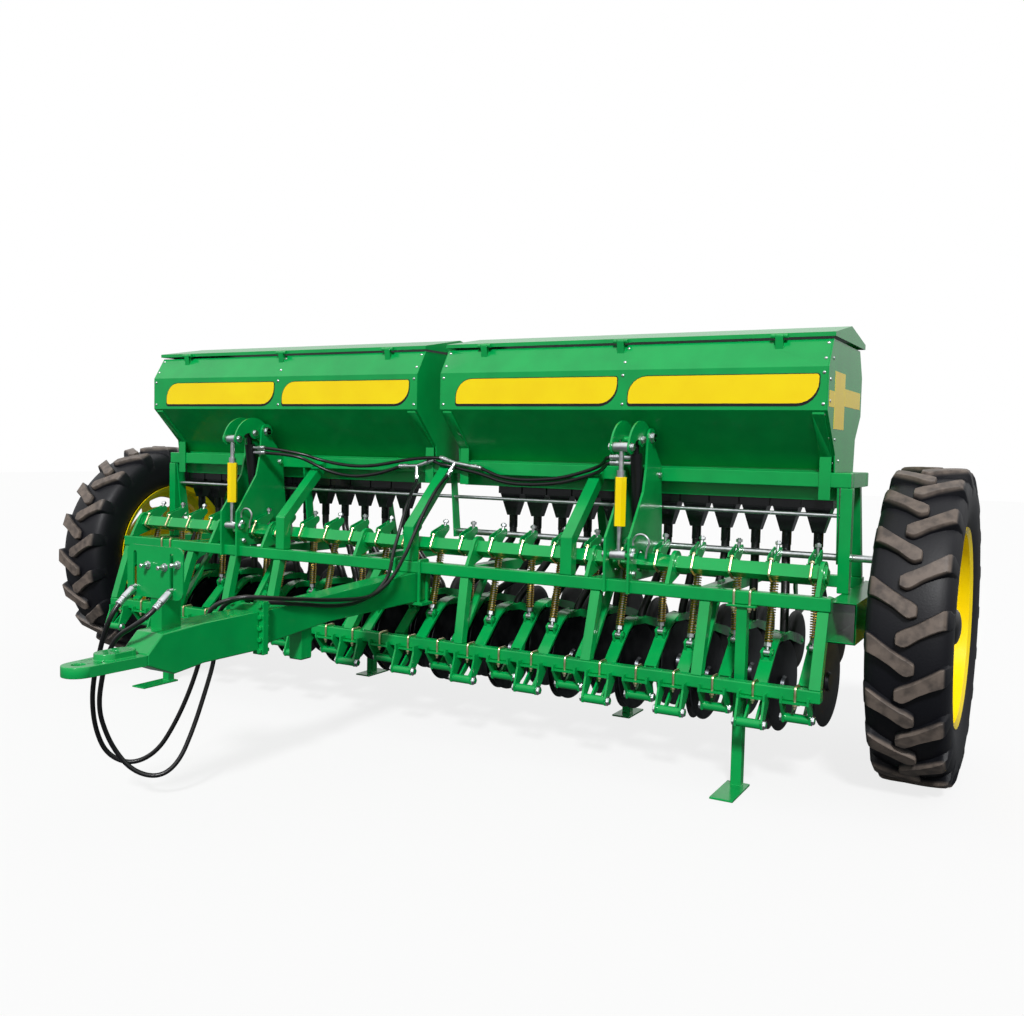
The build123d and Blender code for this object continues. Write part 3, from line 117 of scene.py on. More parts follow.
def new_material(name, base, rough, metal=0.0, extra=None):
    """A material with one shader whose plain values are set on its own sockets. Returns it, its tree, shader."""
    material = bpy.data.materials.new(name)
    material.use_nodes = True
    tree = material.node_tree
    shader = tree.nodes["Principled BSDF"]
    shader.inputs["Base Color"].default_value = linear(base)
    shader.inputs["Roughness"].default_value = rough
    shader.inputs["Metallic"].default_value = metal
    for key, value in (extra or {}).items():
        shader.inputs[key].default_value = value
    material.diffuse_color = linear(base)
    return material, tree, shader


def place_scaled(tree, per_metre):
    """Object coordinates times the number of patterns per metre, the same along all three axes."""
    where = node(tree, "ShaderNodeTexCoord")
    scale = (per_metre, per_metre, per_metre)
    return node(
        tree, "ShaderNodeMapping", inputs={"Vector": where.outputs["Object"], "Scale": scale}
    ).outputs["Vector"]


def relief(tree, shader, height, depth_mm):
    """Bumps the surface by a height from 0 to 1, with its depth in millimetres."""
    bump = node(
        tree, "ShaderNodeBump", inputs={"Height": height, "Distance": depth_mm / 1000, "Strength": 1.0}
    )
    tree.links.new(bump.outputs["Normal"], shader.inputs["Normal"])


# %% [markdown]
# ## Enamel
# The frame is sprayed with a glossy two-part enamel. Sprayed paint keeps a fine orange-peel skin, and its tone
# drifts a little over hand-wide patches where coats overlap. The skin's real grain is about 1 mm, too fine to
# show here, so it is drawn at 4 mm. Yellow and black parts get the same paint in other colours.

# %% Enamel in three colours
drift_per_metre, skin_mm, skin_depth_mm = 7, 4, 0.05


def enamel(name, base, shade, rough=0.24):
    """Glossy sprayed paint: a slow drift between two tones, and a shallow orange-peel skin."""
    extra = {"Coat Weight": 0.2, "Coat Roughness": 0.06, "Specular IOR Level": 0.35}
    material, tree, shader = new_material(name, base, rough, extra=extra)
    drift = node(
        tree,
        "ShaderNodeTexNoise",
        inputs={"Vector": place_scaled(tree, drift_per_metre), "Scale": 1.0, "Detail": 3.0},
    )
    tone = ramp(tree, drift.outputs["Fac"], ((0.3, shade), (0.7, base)))
    tree.links.new(tone.outputs["Color"], shader.inputs["Base Color"])
    skin = node(
        tree, "ShaderNodeTexNoise", inputs={"Vector": place_scaled(tree, 1000 / skin_mm), "Scale": 1.0}
    )
    relief(tree, shader, skin.outputs["Fac"], skin_depth_mm)
    return material


green_enamel = enamel("green-enamel", "#02A44E", "#029648")
yellow_enamel = enamel("yellow-enamel", "#FFE200", "#FBD900")
black_enamel = enamel("black-enamel", "#161719", "#101113", 0.3)

# %% [markdown]
# ## Plated and bare metal
# Small steel parts are electroplated. Clear zinc is a bluish silver; zinc with a chromate bath is a pale gold
# whose tint changes from patch to patch. Blotches about 20 mm across change tone and gloss a little.

# %% Plated, ground and chromed steel


def plated(name, base, other, rough, patch_mm=20):
    """Metal whose tone and gloss drift over patches of a given size."""
    material, tree, shader = new_material(name, base, rough, 1.0)
    scale = 1000 / patch_mm
    patches = node(
        tree,
        "ShaderNodeTexNoise",
        inputs={"Vector": place_scaled(tree, scale), "Scale": 1.0, "Detail": 4.0},
    )
    tone = ramp(tree, patches.outputs["Fac"], ((0.35, other), (0.65, base)))
    tree.links.new(tone.outputs["Color"], shader.inputs["Base Color"])
    gloss = node(
        tree,
        "ShaderNodeMapRange",
        inputs={"Value": patches.outputs["Fac"], "To Min": rough - 0.06, "To Max": rough + 0.08},
    )
    tree.links.new(gloss.outputs["Result"], shader.inputs["Roughness"])
    return material


clear_zinc = plated("clear-zinc-plate", "#DDE0E2", "#C2C6CA", 0.3)
gold_zinc = plated("gold-chromate-zinc", "#EADFBE", "#D8C890", 0.3)
spring_bronze = plated("gold-chromate-spring-steel", "#D9B85C", "#B58A3A", 0.32)
disc_steel = plated("oiled-disc-steel", "#5B5E62", "#3C3F43", 0.36, 60)
rod_chrome = plated("hard-chrome", "#E8EAEC", "#DDE0E2", 0.12, 40)

# %% [markdown]
# ## Rubber and plastic
# Tyre rubber is a dull bluish black. Where the lugs touch the ground they carry dry brown-grey dust, so the
# colour follows the distance from the axle: the carcass stays black and the lug tops turn dusty. Hoses are
# smoother and shine in a thin streak, and the moulded funnels are a glossy black plastic.

# %% Tyre, hose and funnel materials
axle_y, axle_z = 0.812, 0.603
tyre_r = 0.603
dust_from, dust_to = tyre_r - 0.020, tyre_r - 0.009
blotch_per_metre, grain_per_metre, grain_depth_mm = 28, 160, 0.5


def dusty_tyre():
    """Black rubber that turns brown-grey towards the tops of the lugs, with blotches of dust."""
    material, tree, shader = new_material(
        "farm-tyre-rubber", "#0B0C12", 0.5, extra={"Specular IOR Level": 0.3}
    )
    where = node(tree, "ShaderNodeTexCoord").outputs["Object"]
    flat = node(
        tree, "ShaderNodeVectorMath", {"operation": "MULTIPLY"}, {0: where, 1: (0.0, 1.0, 1.0)}
    ).outputs["Vector"]
    reach = node(
        tree, "ShaderNodeVectorMath", {"operation": "DISTANCE"}, {0: flat, 1: (0.0, axle_y, axle_z)}
    ).outputs["Value"]
    height = node(
        tree,
        "ShaderNodeMapRange",
        inputs={"Value": reach, "From Min": dust_from, "From Max": dust_to},
    ).outputs["Result"]
    blotch = node(
        tree,
        "ShaderNodeTexNoise",
        inputs={"Vector": place_scaled(tree, blotch_per_metre), "Scale": 1.0, "Detail": 6.0},
    ).outputs["Fac"]
    patchy = node(
        tree, "ShaderNodeMapRange", inputs={"Value": blotch, "From Min": 0.3, "From Max": 0.6, "To Min": 0.55}
    ).outputs["Result"]
    share = node(tree, "ShaderNodeMath", {"operation": "MULTIPLY"}, {0: height, 1: patchy}).outputs["Value"]
    dust = ramp(tree, share, ((0.0, "#0B0C12"), (0.5, "#453F3C"), (1.0, "#6E635B")))
    tree.links.new(dust.outputs["Color"], shader.inputs["Base Color"])
    grain = node(
        tree,
        "ShaderNodeTexNoise",
        inputs={"Vector": place_scaled(tree, grain_per_metre), "Scale": 1.0, "Detail": 3.0},
    )
    relief(tree, shader, grain.outputs["Fac"], grain_depth_mm)
    return material


def soft_black(name, base, rough, grain_mm, depth_mm):
    """A black rubber or plastic with a fine skin of a given grain."""
    material, tree, shader = new_material(name, base, rough)
    scale = 1000 / grain_mm
    grain = node(
        tree, "ShaderNodeTexNoise", inputs={"Vector": place_scaled(tree, scale), "Scale": 1.0}
    )
    relief(tree, shader, grain.outputs["Fac"], depth_mm)
    gloss = node(
        tree,
        "ShaderNodeMapRange",
        inputs={"Value": grain.outputs["Fac"], "To Min": rough - 0.05, "To Max": rough + 0.05},
    )
    tree.links.new(gloss.outputs["Result"], shader.inputs["Roughness"])
    return material


tyre_rubber = dusty_tyre()
wheel_rubber = soft_black("press-wheel-rubber", "#1C1D1F", 0.6, 8, 0.2)
hose_rubber = soft_black("hydraulic-hose-rubber", "#0D0D0F", 0.34, 4, 0.08)
funnel_plastic = soft_black("moulded-black-plastic", "#0F1012", 0.22, 12, 0.03)
finishes = {
    "green_paint": green_enamel,
    "yellow_paint": yellow_enamel,
    "black_paint": black_enamel,
    "zinc_plate": clear_zinc,
    "yellow_zinc": gold_zinc,
    "disc_steel": disc_steel,
    "chrome_rod": rod_chrome,
    "tyre_rubber": tyre_rubber,
    "wheel_rubber": wheel_rubber,
    "hose_rubber": hose_rubber,
    "funnel_plastic": funnel_plastic,
}
print("finishes", len(finishes))

# %% [markdown]
# ## The solids that stay
# Most solids already have the right shape, so they keep their mesh. Each takes its finish from the record's
# own list, and square-edged ones get a small rounded edge, because folded sheet and rolled bar never meet in
# a knife edge and the rounding catches the light. The mesh comes as loose triangles, so it is welded first.

# %% Finishes and edges of the CAD nodes
weld_gap, sharp_degrees = 0.00005, 35
node_slots = {row["node"]: row["material_slot"] for row in frame["record"]["subparts"]}
edge_mm = {
    "front_upper_bar": 5,
    "front_lower_bar": 5,
    "frame_struts": 4,
    "cross_members": 4,
    "rear_beam": 4,
    "side_beams": 3,
    "hopper_rails": 4,
    "hopper_posts": 4,
    "rail_ties": 4,
    "drawbar_front": 5,
    "drawbar_rear": 5,
    "drawbar_plates": 2,
    "hitch": 3,
    "stand_legs": 2,
    "opener_brackets": 1.5,
    "shaft_bearings": 1.5,
    "lift_towers": 2,
    "bell_cranks": 2,
    "lift_shaft": 2,
    "lift_forks": 1.2,
    "hopper_fronts": 1.5,
    "hopper_rears": 1.5,
    "hopper_ends": 1.2,
    "hopper_straps": 1.5,
    "lid_left": 1.5,
    "lid_right": 1.5,
    "footboard": 2,
    "footboard_brackets": 2,
    "frame_braces": 2,
    "turnbuckle_barrels": 2,
    "seed_meters": 2,
}


def rounded_edge(piece, width_mm):
    """Joins the loose triangles, then rounds each edge sharper than 35 degrees."""
    weld = piece.modifiers.new("weld", "WELD")
    weld.merge_threshold = weld_gap
    bevel = piece.modifiers.new("edge", "BEVEL")
    bevel.width = width_mm / 1000
    bevel.segments = 2
    bevel.limit_method = "ANGLE"
    bevel.angle_limit = math.radians(sharp_degrees)
    bevel.harden_normals = True


for name, piece in frame["nodes"].items():
    piece.data.materials.clear()
    piece.data.materials.append(finishes[node_slots[name]])
    if name in edge_mm:
        rounded_edge(piece, edge_mm[name])
print("finished nodes", len(frame["nodes"]))

# %% [markdown]
# ## Surfaces from arrays
# A shape here is an array of points and a list of face arrays. A turned part is a profile carried round an
# axis, a wire or tube is a circle carried along a line, and a plate is an outline carried through its
# thickness. All are worked out as whole arrays, and a shape that repeats is copied by adding offsets.

# %% Shape helpers


def unit(vector):
    """A vector, or rows of vectors, divided by their length."""
    vector = np.asarray(vector, float)
    return vector / np.linalg.norm(vector, axis=-1, keepdims=True)


def across_pair(direction):
    """Two unit vectors square to a direction and to each other."""
    direction = unit(direction)
    helper = np.array([1.0, 0, 0]) if abs(direction[0]) < 0.8 else np.array([0, 0, 1.0])
    first = unit(np.cross(helper, direction))
    return first, np.cross(direction, first)


def grid_quads(rows, columns, closed=True):
    """Quads between neighbouring rows of a grid of points; closed joins the last column to the first."""
    span = columns if closed else columns - 1
    row, column = np.meshgrid(np.arange(rows - 1), np.arange(span), indexing="ij")
    after = (column + 1) % columns
    a, b = row * columns + column, row * columns + after
    return np.stack([a, b, b + columns, a + columns], -1).reshape(-1, 4)


def capped(points, rows, columns):
    """A grid of closed rings with a flat face on its first and last ring."""
    last = (rows - 1) * columns
    caps = [np.arange(columns)[::-1][None], (last + np.arange(columns))[None]]
    return points.reshape(-1, 3), [grid_quads(rows, columns), *caps]


def turned(profile, origin, axis, sides=24, twist=0.0):
    """A profile of (along, radius) rows carried round an axis: origin + along * axis + radius * (cos, sin)."""
    profile = np.asarray(profile, float)
    u, v = across_pair(axis)
    angle = twist + np.arange(sides) * 2 * math.pi / sides
    round_about = np.cos(angle)[:, None] * u + np.sin(angle)[:, None] * v
    rings = (
        np.asarray(origin, float)
        + profile[:, 0][:, None, None] * unit(axis)
        + profile[:, 1][:, None, None] * round_about
    )
    return capped(rings, len(profile), sides)


def wire(line, radius, sides=8, side_hint=(1.0, 0, 0)):
    """A round wire along a line of points: each ring lies square to the line's direction at its point."""
    line = np.asarray(line, float)
    ahead_here = unit(np.gradient(line, axis=0))
    first = unit(np.cross(np.asarray(side_hint, float), ahead_here))
    second = np.cross(ahead_here, first)
    angle = np.arange(sides) * 2 * math.pi / sides
    rings = line[:, None] + radius * (
        np.cos(angle)[None, :, None] * first[:, None] + np.sin(angle)[None, :, None] * second[:, None]
    )
    return capped(rings, len(line), sides)


def plate(outline, origin, u, v, thickness, edge=0.001):
    """An outline in (u, v) carried along u x v, drawn in by the edge at both faces so the rim is chamfered."""
    outline = np.asarray(outline, float)
    u, v = np.asarray(u, float), np.asarray(v, float)
    centre = outline.mean(0)
    reach = np.linalg.norm(outline - centre, axis=1, keepdims=True)
    inner = outline - (outline - centre) / reach * edge
    rings = [inner, outline, outline, inner]
    heights = [0, edge, thickness - edge, thickness]
    out = np.cross(u, v)
    points = np.array(
        [
            np.asarray(origin, float) + ring[:, :1] * u + ring[:, 1:] * v + height * out
            for ring, height in zip(rings, heights)
        ]
    )
    return capped(points, len(rings), len(outline))


def facing_out(shape):
    """Turns a shape's faces round where its volume, summed over its faces from its middle, is negative."""
    points, faces = shape
    centred = points - points.mean(0)
    volume = 0.0
    for face in faces:
        for k in range(1, face.shape[1] - 1):
            a, b, c = centred[face[:, 0]], centred[face[:, k]], centred[face[:, k + 1]]
            volume += float(np.einsum("ij,ij->", a, np.cross(b, c)))
    return shape if volume > 0 else (points, [face[:, ::-1] for face in faces])


def ring(outline, origin, axis, sides=96):
    """A closed outline of (along, radius) rows carried round an axis."""
    rows = np.concatenate([np.asarray(outline, float), np.asarray(outline[:1], float)])
    points, faces = turned(rows, origin, axis, sides)
    return facing_out((points, faces[:1]))


def joined(shapes):
    """Several shapes as one: their points one after another, their faces counted on."""
    points, faces, start = [], [], 0
    for shape_points, shape_faces in shapes:
        points.append(shape_points)
        faces += [face + start for face in shape_faces]
        start += len(shape_points)
    return np.concatenate(points), faces


def copied(shape, places):
    """A shape at each of many places: offsets added to its points as one array."""
    points, faces = shape
    places = np.asarray(places, float).reshape(-1, 3)
    many = (points[None] + places[:, None]).reshape(-1, 3)
    starts = np.arange(len(places))[:, None, None] * len(points)
    return many, [(face[None] + starts).reshape(-1, face.shape[1]) for face in faces]


def make(name, shape, body, finish, replaces=(), crease=35):
    """Puts a shape into a mesh object that rides on a body; edges sharper than the crease stay sharp."""
    points, faces = shape
    mesh = bpy.data.meshes.new(name)
    sizes = np.concatenate([np.full(len(face), face.shape[1]) for face in faces])
    corners = np.concatenate([face.reshape(-1) for face in faces])
    mesh.vertices.add(len(points))
    mesh.vertices.foreach_set("co", points.astype(np.float32).reshape(-1))
    mesh.loops.add(len(corners))
    mesh.loops.foreach_set("vertex_index", corners.astype(np.int32))
    mesh.polygons.add(len(sizes))
    mesh.polygons.foreach_set("loop_start", (np.cumsum(sizes) - sizes).astype(np.int32))
    mesh.polygons.foreach_set("loop_total", sizes.astype(np.int32))
    mesh.update(calc_edges=True)
    mesh.validate()
    mesh.polygons.foreach_set("use_smooth", np.ones(len(mesh.polygons), bool))
    mesh.set_sharp_from_angle(angle=math.radians(crease))
    mesh.materials.append(finish)
    piece = bpy.data.objects.new(name, mesh)
    bpy.context.scene.collection.objects.link(piece)
    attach(piece, body)
    if replaces:
        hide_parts(*replaces)
    triangles = int((sizes - 2).sum())
    print(name, "triangles", triangles)
    return piece


# %% [markdown]
# ## Hydraulic hoses
# Two rubber hoses hang in free loops from the couplings on their plate to just above the ground and back up to
# the drawbar. A hose is stiff, so its line is one smooth curve: a NURBS spline with a round section, whose
# control points follow the route seen in the photo.

# %% Free hoses
hose_r = 0.008
loop_left = [
    (-104, -1114.3, 731.7),
    (-104, -1156, 698),
    (-140, -1165, 610),
    (-185, -1145, 540),
    (-232, -1125, 470),
    (-276, -1100, 370),
    (-303, -1065, 260),
    (-296, -1025, 165),
    (-240, -970, 125),
    (-175, -915, 165),
    (-135, -870, 264),
    (-105, -830, 380),
    (-84, -800, 500),
    (-82, -785, 600),
    (-64, -774, 674),
    (-12, -735, 690),
]
loop_right = [
    (62, -1114.3, 731.7),
    (62, -1152, 701),
    (24, -1182, 664),
    (-46, -1190, 626),
    (-120, -1170, 545),
    (-185, -1135, 455),
    (-235, -1105, 375),
    (-262, -1075, 300),
    (-260, -1030, 195),
    (-216, -985, 110),
    (-150, -930, 84),
    (-108, -880, 130),
    (-92, -830, 240),
    (-88, -780, 360),
    (-88, -735, 470),
    (-88, -725, 590),
    (-66, -722, 676),
    (12, -705, 694),
]


def hose(name, points_mm, radius):
    """A round curve object: one smooth spline that its control points pull into place."""
    curve = bpy.data.curves.new(name, "CURVE")
    curve.dimensions = "3D"
    curve.bevel_depth = radius
    curve.bevel_resolution = 4
    curve.resolution_u = 10
    curve.use_fill_caps = True
    spline = curve.splines.new("NURBS")
    spline.points.add(len(points_mm) - 1)
    rows = np.hstack([np.array(points_mm, float) / 1000, np.ones((len(points_mm), 1))])
    spline.points.foreach_set("co", rows.reshape(-1))
    spline.order_u = 3
    spline.use_endpoint_u = True
    curve.materials.append(hose_rubber)
    piece = bpy.data.objects.new(name, curve)
    bpy.context.scene.collection.objects.link(piece)
    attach(piece, "frame")
    return piece


# Each free hose's route and its real length in metres
free_hoses = {"free-hose-left": (loop_left, 1.42), "free-hose-right": (loop_right, 1.57)}
for name, (points_mm, hose_length) in free_hoses.items():
    piece = hose(name, points_mm, hose_r)
    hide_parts("free_hoses")
    print(name, "set")

# %% [markdown]
# ## Held hoses
# The same two hoses run on along the drawbar, tied to its side, and rise to two T fittings under the hoppers.
# Four more cross from there to the lift cylinders. Each is again one spline through its own route.

# %% Held hoses
held_routes = {
    "riser-right": [
        (-12, -735, 690),
        (26, -716, 700),
        (50, -684, 697),
        (58, -646, 692),
        (64, -590, 684),
        (72, -521, 673),
        (76, -438, 663),
        (78, -353, 650),
        (80, -249, 638),
        (80, -122, 627),
        (80, -43, 630),
        (80, 24, 651),
        (80, 88, 685),
        (68, 146, 717),
        (52, 206, 754),
        (40, 256, 786),
        (35, 293, 826),
        (34, 345, 894),
        (34, 397, 958),
        (34, 459, 1023),
        (37, 512, 1072),
        (44, 565, 1109),
        (50, 579.8, 1133.8),
    ],
    "riser-left": [
        (12, -705, 694),
        (24, -682, 688),
        (20, -654, 678),
        (34, -604, 668),
        (54, -562, 663),
        (61, -524, 656),
        (60, -466, 648),
        (60, -398, 636),
        (59, -311, 621),
        (59, -220, 611),
        (59, -145, 608),
        (59, -68, 615),
        (59, -2, 631),
        (60, 48, 657),
        (58, 92, 690),
        (24, 160, 720),
        (-5, 209, 748),
        (-28, 256, 790),
        (-38, 297, 842),
        (-42, 331, 904),
        (-55, 385, 977),
        (-98, 486, 1036),
        (-130, 571.5, 1074),
        (-138, 581.8, 1100.8),
    ],
    "left-low": [
        (-214.3, 600, 1145),
        (-244, 600, 1144),
        (-336, 600, 1113),
        (-417, 590, 1096),
        (-507, 590, 1086),
        (-591, 580, 1093),
        (-668, 560, 1113),
        (-725, 530, 1146),
        (-778, 485, 1178),
        (-937, 449, 1190),
        (-987.7, 449, 1190),
    ],
    "left-high": [
        (13.7, 600, 1179),
        (-15, 600, 1187),
        (-66, 584, 1188),
        (-157, 590, 1181),
        (-242, 590, 1168),
        (-358, 590, 1146),
        (-478, 590, 1135),
        (-592, 580, 1142),
        (-700, 560, 1161),
        (-768, 505, 1190),
        (-937, 445.5, 1213.8),
        (-987.7, 445.5, 1213.8),
    ],
    "right-high": [
        (166.3, 600, 1152),
        (196, 600, 1148),
        (235, 600, 1133),
        (303, 590, 1111),
        (405, 590, 1101),
        (505, 590, 1105),
        (602, 590, 1115),
        (701, 580, 1140),
        (802, 560, 1172),
        (848, 505, 1196),
        (885, 445.5, 1213.8),
        (935.7, 445.5, 1213.8),
    ],
    "right-low": [
        (-89.7, 600, 1167),
        (-61, 600, 1176),
        (-24, 594, 1160),
        (14, 588, 1154),
        (56, 611, 1148),
        (104, 603, 1137),
        (166, 600, 1128),
        (235, 600, 1111),
        (303, 590, 1091),
        (405, 590, 1081),
        (505, 590, 1085),
        (602, 590, 1095),
        (701, 580, 1118),
        (802, 560, 1149),
        (848, 505, 1174),
        (885, 449, 1190),
        (935.7, 449, 1190),
    ],
}
for name, points_mm in held_routes.items():
    hose("held-hose-" + name, points_mm, hose_r)
print("held hoses", len(held_routes))

# %% [markdown]
# ## Ferrules
# A hydraulic hose ends in a pressed steel ferrule and a hexagon nut. Both are turned profiles, placed where a
# hose meets its fitting and pointing along it.

# %% Hose ferrules


def ferrule(start_mm, next_mm, share=1.0):
    """A crimped sleeve with three grooves, then a hexagon nut, back along a hose; share shortens both."""
    start = np.array(start_mm, float) / 1000
    along = unit(np.array(next_mm, float) / 1000 - start)
    sleeve = [
        (0.010, 0.0088),
        (0.011, 0.0108),
        (0.018, 0.0112),
        (0.0195, 0.0102),
        (0.021, 0.0112),
        (0.028, 0.0112),
        (0.0295, 0.0102),
        (0.031, 0.0112),
        (0.037, 0.0108),
        (0.038, 0.0086),
    ]
    nut = [(0.0, 0.0105), (0.001, 0.0125), (0.010, 0.0125), (0.011, 0.0105)]
    sleeve, nut = (np.array(profile) * (share, 1) for profile in (sleeve, nut))
    return joined([turned(sleeve, start, along, 16), turned(nut, start, along, 6)])


ferrules = []
for points_mm in held_routes.values():
    ends = [(points_mm[-1], points_mm[-2])]
    if points_mm[0][1] > 0:
        ends.append((points_mm[0], points_mm[1]))
    ferrules += [ferrule(start, after) for start, after in ends]
make("hose-ferrules", joined(ferrules), "frame", clear_zinc)

# %% [markdown]
# ## T fittings and ports
# Two T fittings of zinc-plated steel tube share the oil between the cylinders, and each cylinder takes it
# through two short ports. Each arm is a turned tube that steps out to a collar where a hose screws on. The free
# hoses get shorter ferrules at their couplings.

# %% T fittings, ports and coupling ferrules
tees = {
    "left": ((-214, 600, 1145), (-152, 600, 1147), (-90, 600, 1167), (-138, 582, 1101)),
    "right": ((14, 600, 1179), (58, 600, 1167), (166, 600, 1152), (50, 580, 1134)),
}


def collared(reach, tube_r, collar_r, collar_w):
    """The profile of a tube that steps out to a collar over the last part of its reach."""
    step = 0.001
    return [(0, tube_r), (reach - collar_w - step, tube_r), (reach - collar_w, collar_r), (reach, collar_r)]


tee_parts = []
for left_end, middle, right_end, foot in tees.values():
    middle = np.array(middle, float) / 1000
    for end in (left_end, right_end, foot):
        arm = np.array(end, float) / 1000 - middle
        profile = collared(float(np.linalg.norm(arm)), 0.009, 0.0115, 0.015)
        tee_parts.append(turned(profile, middle, arm, 16))
make("tee-fittings", joined(tee_parts), "frame", clear_zinc)

tower_middle = {"left": -1.050, "right": 0.998}
port_reach = 0.062
port_places = ((0.449, 1.190), (0.4455, 1.2138))
for side_name, middle_x in tower_middle.items():
    inwards = 1 if middle_x < 0 else -1
    profile = collared(port_reach, 0.008, 0.0105, 0.011)
    port_parts = [turned(profile, (middle_x, y, z), (inwards, 0, 0), 14) for y, z in port_places]
    make(f"cylinder-ports-{side_name}", joined(port_parts), f"barrel_{side_name}", clear_zinc)
coupling_share = 0.75
coupling_ferrules = [ferrule(route[0], route[1], coupling_share) for route in (loop_left, loop_right)]
make("coupling-ferrules", joined(coupling_ferrules), "frame", clear_zinc)

# %% [markdown]
# ## Rows
# The drill sows 24 rows, 150 mm apart. Odd rows stand 80 mm further back, so that soil and straw can pass
# between the discs. The row places come from that pitch, and every small part of a row is copied to them.

# %% Row places
row_pitch, row_count = 0.150, 24
bar_y = 0.230
shaft_y, shaft_z = 0.420, 0.805
rows = row_pitch * (row_count - 1) / 2 - row_pitch * np.arange(row_count)
front_rows, rear_rows = rows[1::2], rows[0::2]
pivot = {"front": np.array([0, 0.190, 0.284]), "rear": np.array([0, 0.270, 0.304])}
row_sets = {"front": front_rows, "rear": rear_rows}


def at_rows(row_x):
    """Offsets along X only."""
    return np.stack([row_x, np.zeros_like(row_x), np.zeros_like(row_x)], 1)


# %% [markdown]
# ## Pressure springs
# Each opener is pushed down by a coil spring round a rod between its clevis and a fork on the lift shaft. The
# coil is a helix: centre + along * t + r * (cos, sin) of the turn angle, with closed end turns where the angle
# runs on while the height stands still.

# %% Springs and rods
fork_reach, fork_angle = 0.106, math.radians(41)
fork_end = np.array([0, shaft_y + fork_reach * math.cos(fork_angle), shaft_z + fork_reach * math.sin(fork_angle)])
clevis_offset = np.array([0, 0.212, 0.218])
coil_r, coil_wire_r, coil_pitch = 0.0136, 0.0033, 0.0098
spring_from, spring_to_gap = 0.0385, 0.0585


def coil(start, along, length):
    """A round wire carried along a helix whose first and last turns lie closed."""
    turns = length / coil_pitch + 1.5
    share = np.linspace(0, 1, int(turns * 11))
    angle = share * turns * 2 * math.pi
    climb = np.clip((share * turns - 0.9) / (turns - 1.8), 0, 1) * (length - 2 * coil_wire_r) + coil_wire_r
    u, v = across_pair(along)
    line = start + climb[:, None] * along + coil_r * (np.cos(angle)[:, None] * u + np.sin(angle)[:, None] * v)
    return wire(line, coil_wire_r, 6, along)


for row_name, row_x in row_sets.items():
    low = pivot[row_name] + clevis_offset
    along = unit(fork_end - low)
    reach = float(np.linalg.norm(fork_end - low))
    spring = coil(low + along * spring_from, along, reach - spring_from - spring_to_gap)
    springs = copied(spring, at_rows(row_x))
    make(f"springs-{row_name}", springs, f"rods_{row_name}", spring_bronze)
    eye = [(-0.0115, 0.0083), (-0.0115, 0.0120), (0.0115, 0.0120), (0.0115, 0.0083)]
    rod = [(0.009, 0.0062), (0.010, 0.007), (reach - 0.02, 0.007), (reach + 0.039, 0.007), (reach + 0.040, 0.006)]
    low_nut = [(0.021, 0.0125), (0.0225, 0.0150), (0.0365, 0.0150), (0.038, 0.0125)]
    top_cap = [
        (reach - 0.058, 0.0175),
        (reach - 0.057, 0.019),
        (reach - 0.053, 0.019),
        (reach - 0.052, 0.0175),
    ]
    head = [(reach + 0.024, 0.011), (reach + 0.0252, 0.0128), (reach + 0.0348, 0.0128), (reach + 0.036, 0.011)]
    one_rod = joined(
        [
            turned(eye, low, (1, 0, 0), 16),
            turned(rod, low, along, 12),
            turned(low_nut, low, along, 6),
            turned(top_cap, low, along, 16),
            turned(head, low, along, 6),
        ]
    )
    make(
        f"spring-rods-{row_name}",
        copied(one_rod, at_rows(row_x)),
        f"rods_{row_name}",
        clear_zinc,
        [f"spring_rods_{row_name}"],
    )

# %% [markdown]
# ## U-bolts and nuts
# Round steel bent over a square bar, with a nut on each leg, clamps the brackets, the forks and the stands.
# The wire runs straight, round two corners and straight again, and the nuts are turned with six sides.

# %% U-bolts
bolt_r, bend_r, bolt_flats = 0.005, 0.009, 0.016
stand_half, stand_middle_x = 0.030, 1.497
shaft_half, shaft_tilt = 0.030, -28


def u_line(half, depth_low, depth_high):
    """A U in (along, above): up one leg, over two quarter circles at the top, down the other leg."""
    quarter = np.linspace(0, math.pi / 2, 6)
    bend_high = depth_high - bend_r
    corner = np.stack([-half + bend_r - bend_r * np.cos(quarter), bend_high + bend_r * np.sin(quarter)], 1)
    legs = np.linspace(depth_low, bend_high, 4)[:-1]
    left = np.concatenate([np.stack([np.full(3, -half), legs], 1), corner])
    return np.concatenate([left, left[::-1] * (-1, 1)])


def in_side_plane(flat, centre_y, centre_z, degrees=0.0):
    """(along, above) points turned about X and set at a centre: y = along cos - above sin, z the other way."""
    c, s = math.cos(math.radians(degrees)), math.sin(math.radians(degrees))
    along, above_it = np.asarray(flat, float).T
    return np.stack(
        [np.zeros(len(flat)), centre_y + along * c - above_it * s, centre_z + along * s + above_it * c], 1
    )


def hex_nut(place, axis, across, height, washer=True):
    """A nut with chamfered corners on a washer; across is the size of its flats."""
    r = across / math.sqrt(3)
    place, axis = np.asarray(place, float), unit(axis)
    base = 0.002 if washer else 0.0
    body = [(base, r * 0.92), (base + 0.0012, r), (base + height - 0.0012, r), (base + height, r * 0.9)]
    shapes = [turned(body, place, axis, 6)]
    if washer:
        rim = [(0, r * 1.15), (0.0004, r * 1.2), (0.0018, r * 1.2), (0.002, r * 1.15)]
        shapes.append(turned(rim, place, axis, 14))
    return joined(shapes)


def u_bolt(half, low, high, centre_y, centre_z, degrees, nut_from, nut_way):
    """One U-bolt with its two nuts; nut_way is +1 where the nuts face the way of the legs' height axis."""
    line = in_side_plane(u_line(half, low, high), centre_y, centre_z, degrees)
    shapes = [wire(line, bolt_r, 8)]
    axis = in_side_plane([(0, nut_way)], 0, 0, degrees)[0]
    for side in (-half, half):
        place = in_side_plane([(side, nut_from)], centre_y, centre_z, degrees)[0]
        shapes.append(hex_nut(place, axis, bolt_flats, 0.008))
    return joined(shapes)


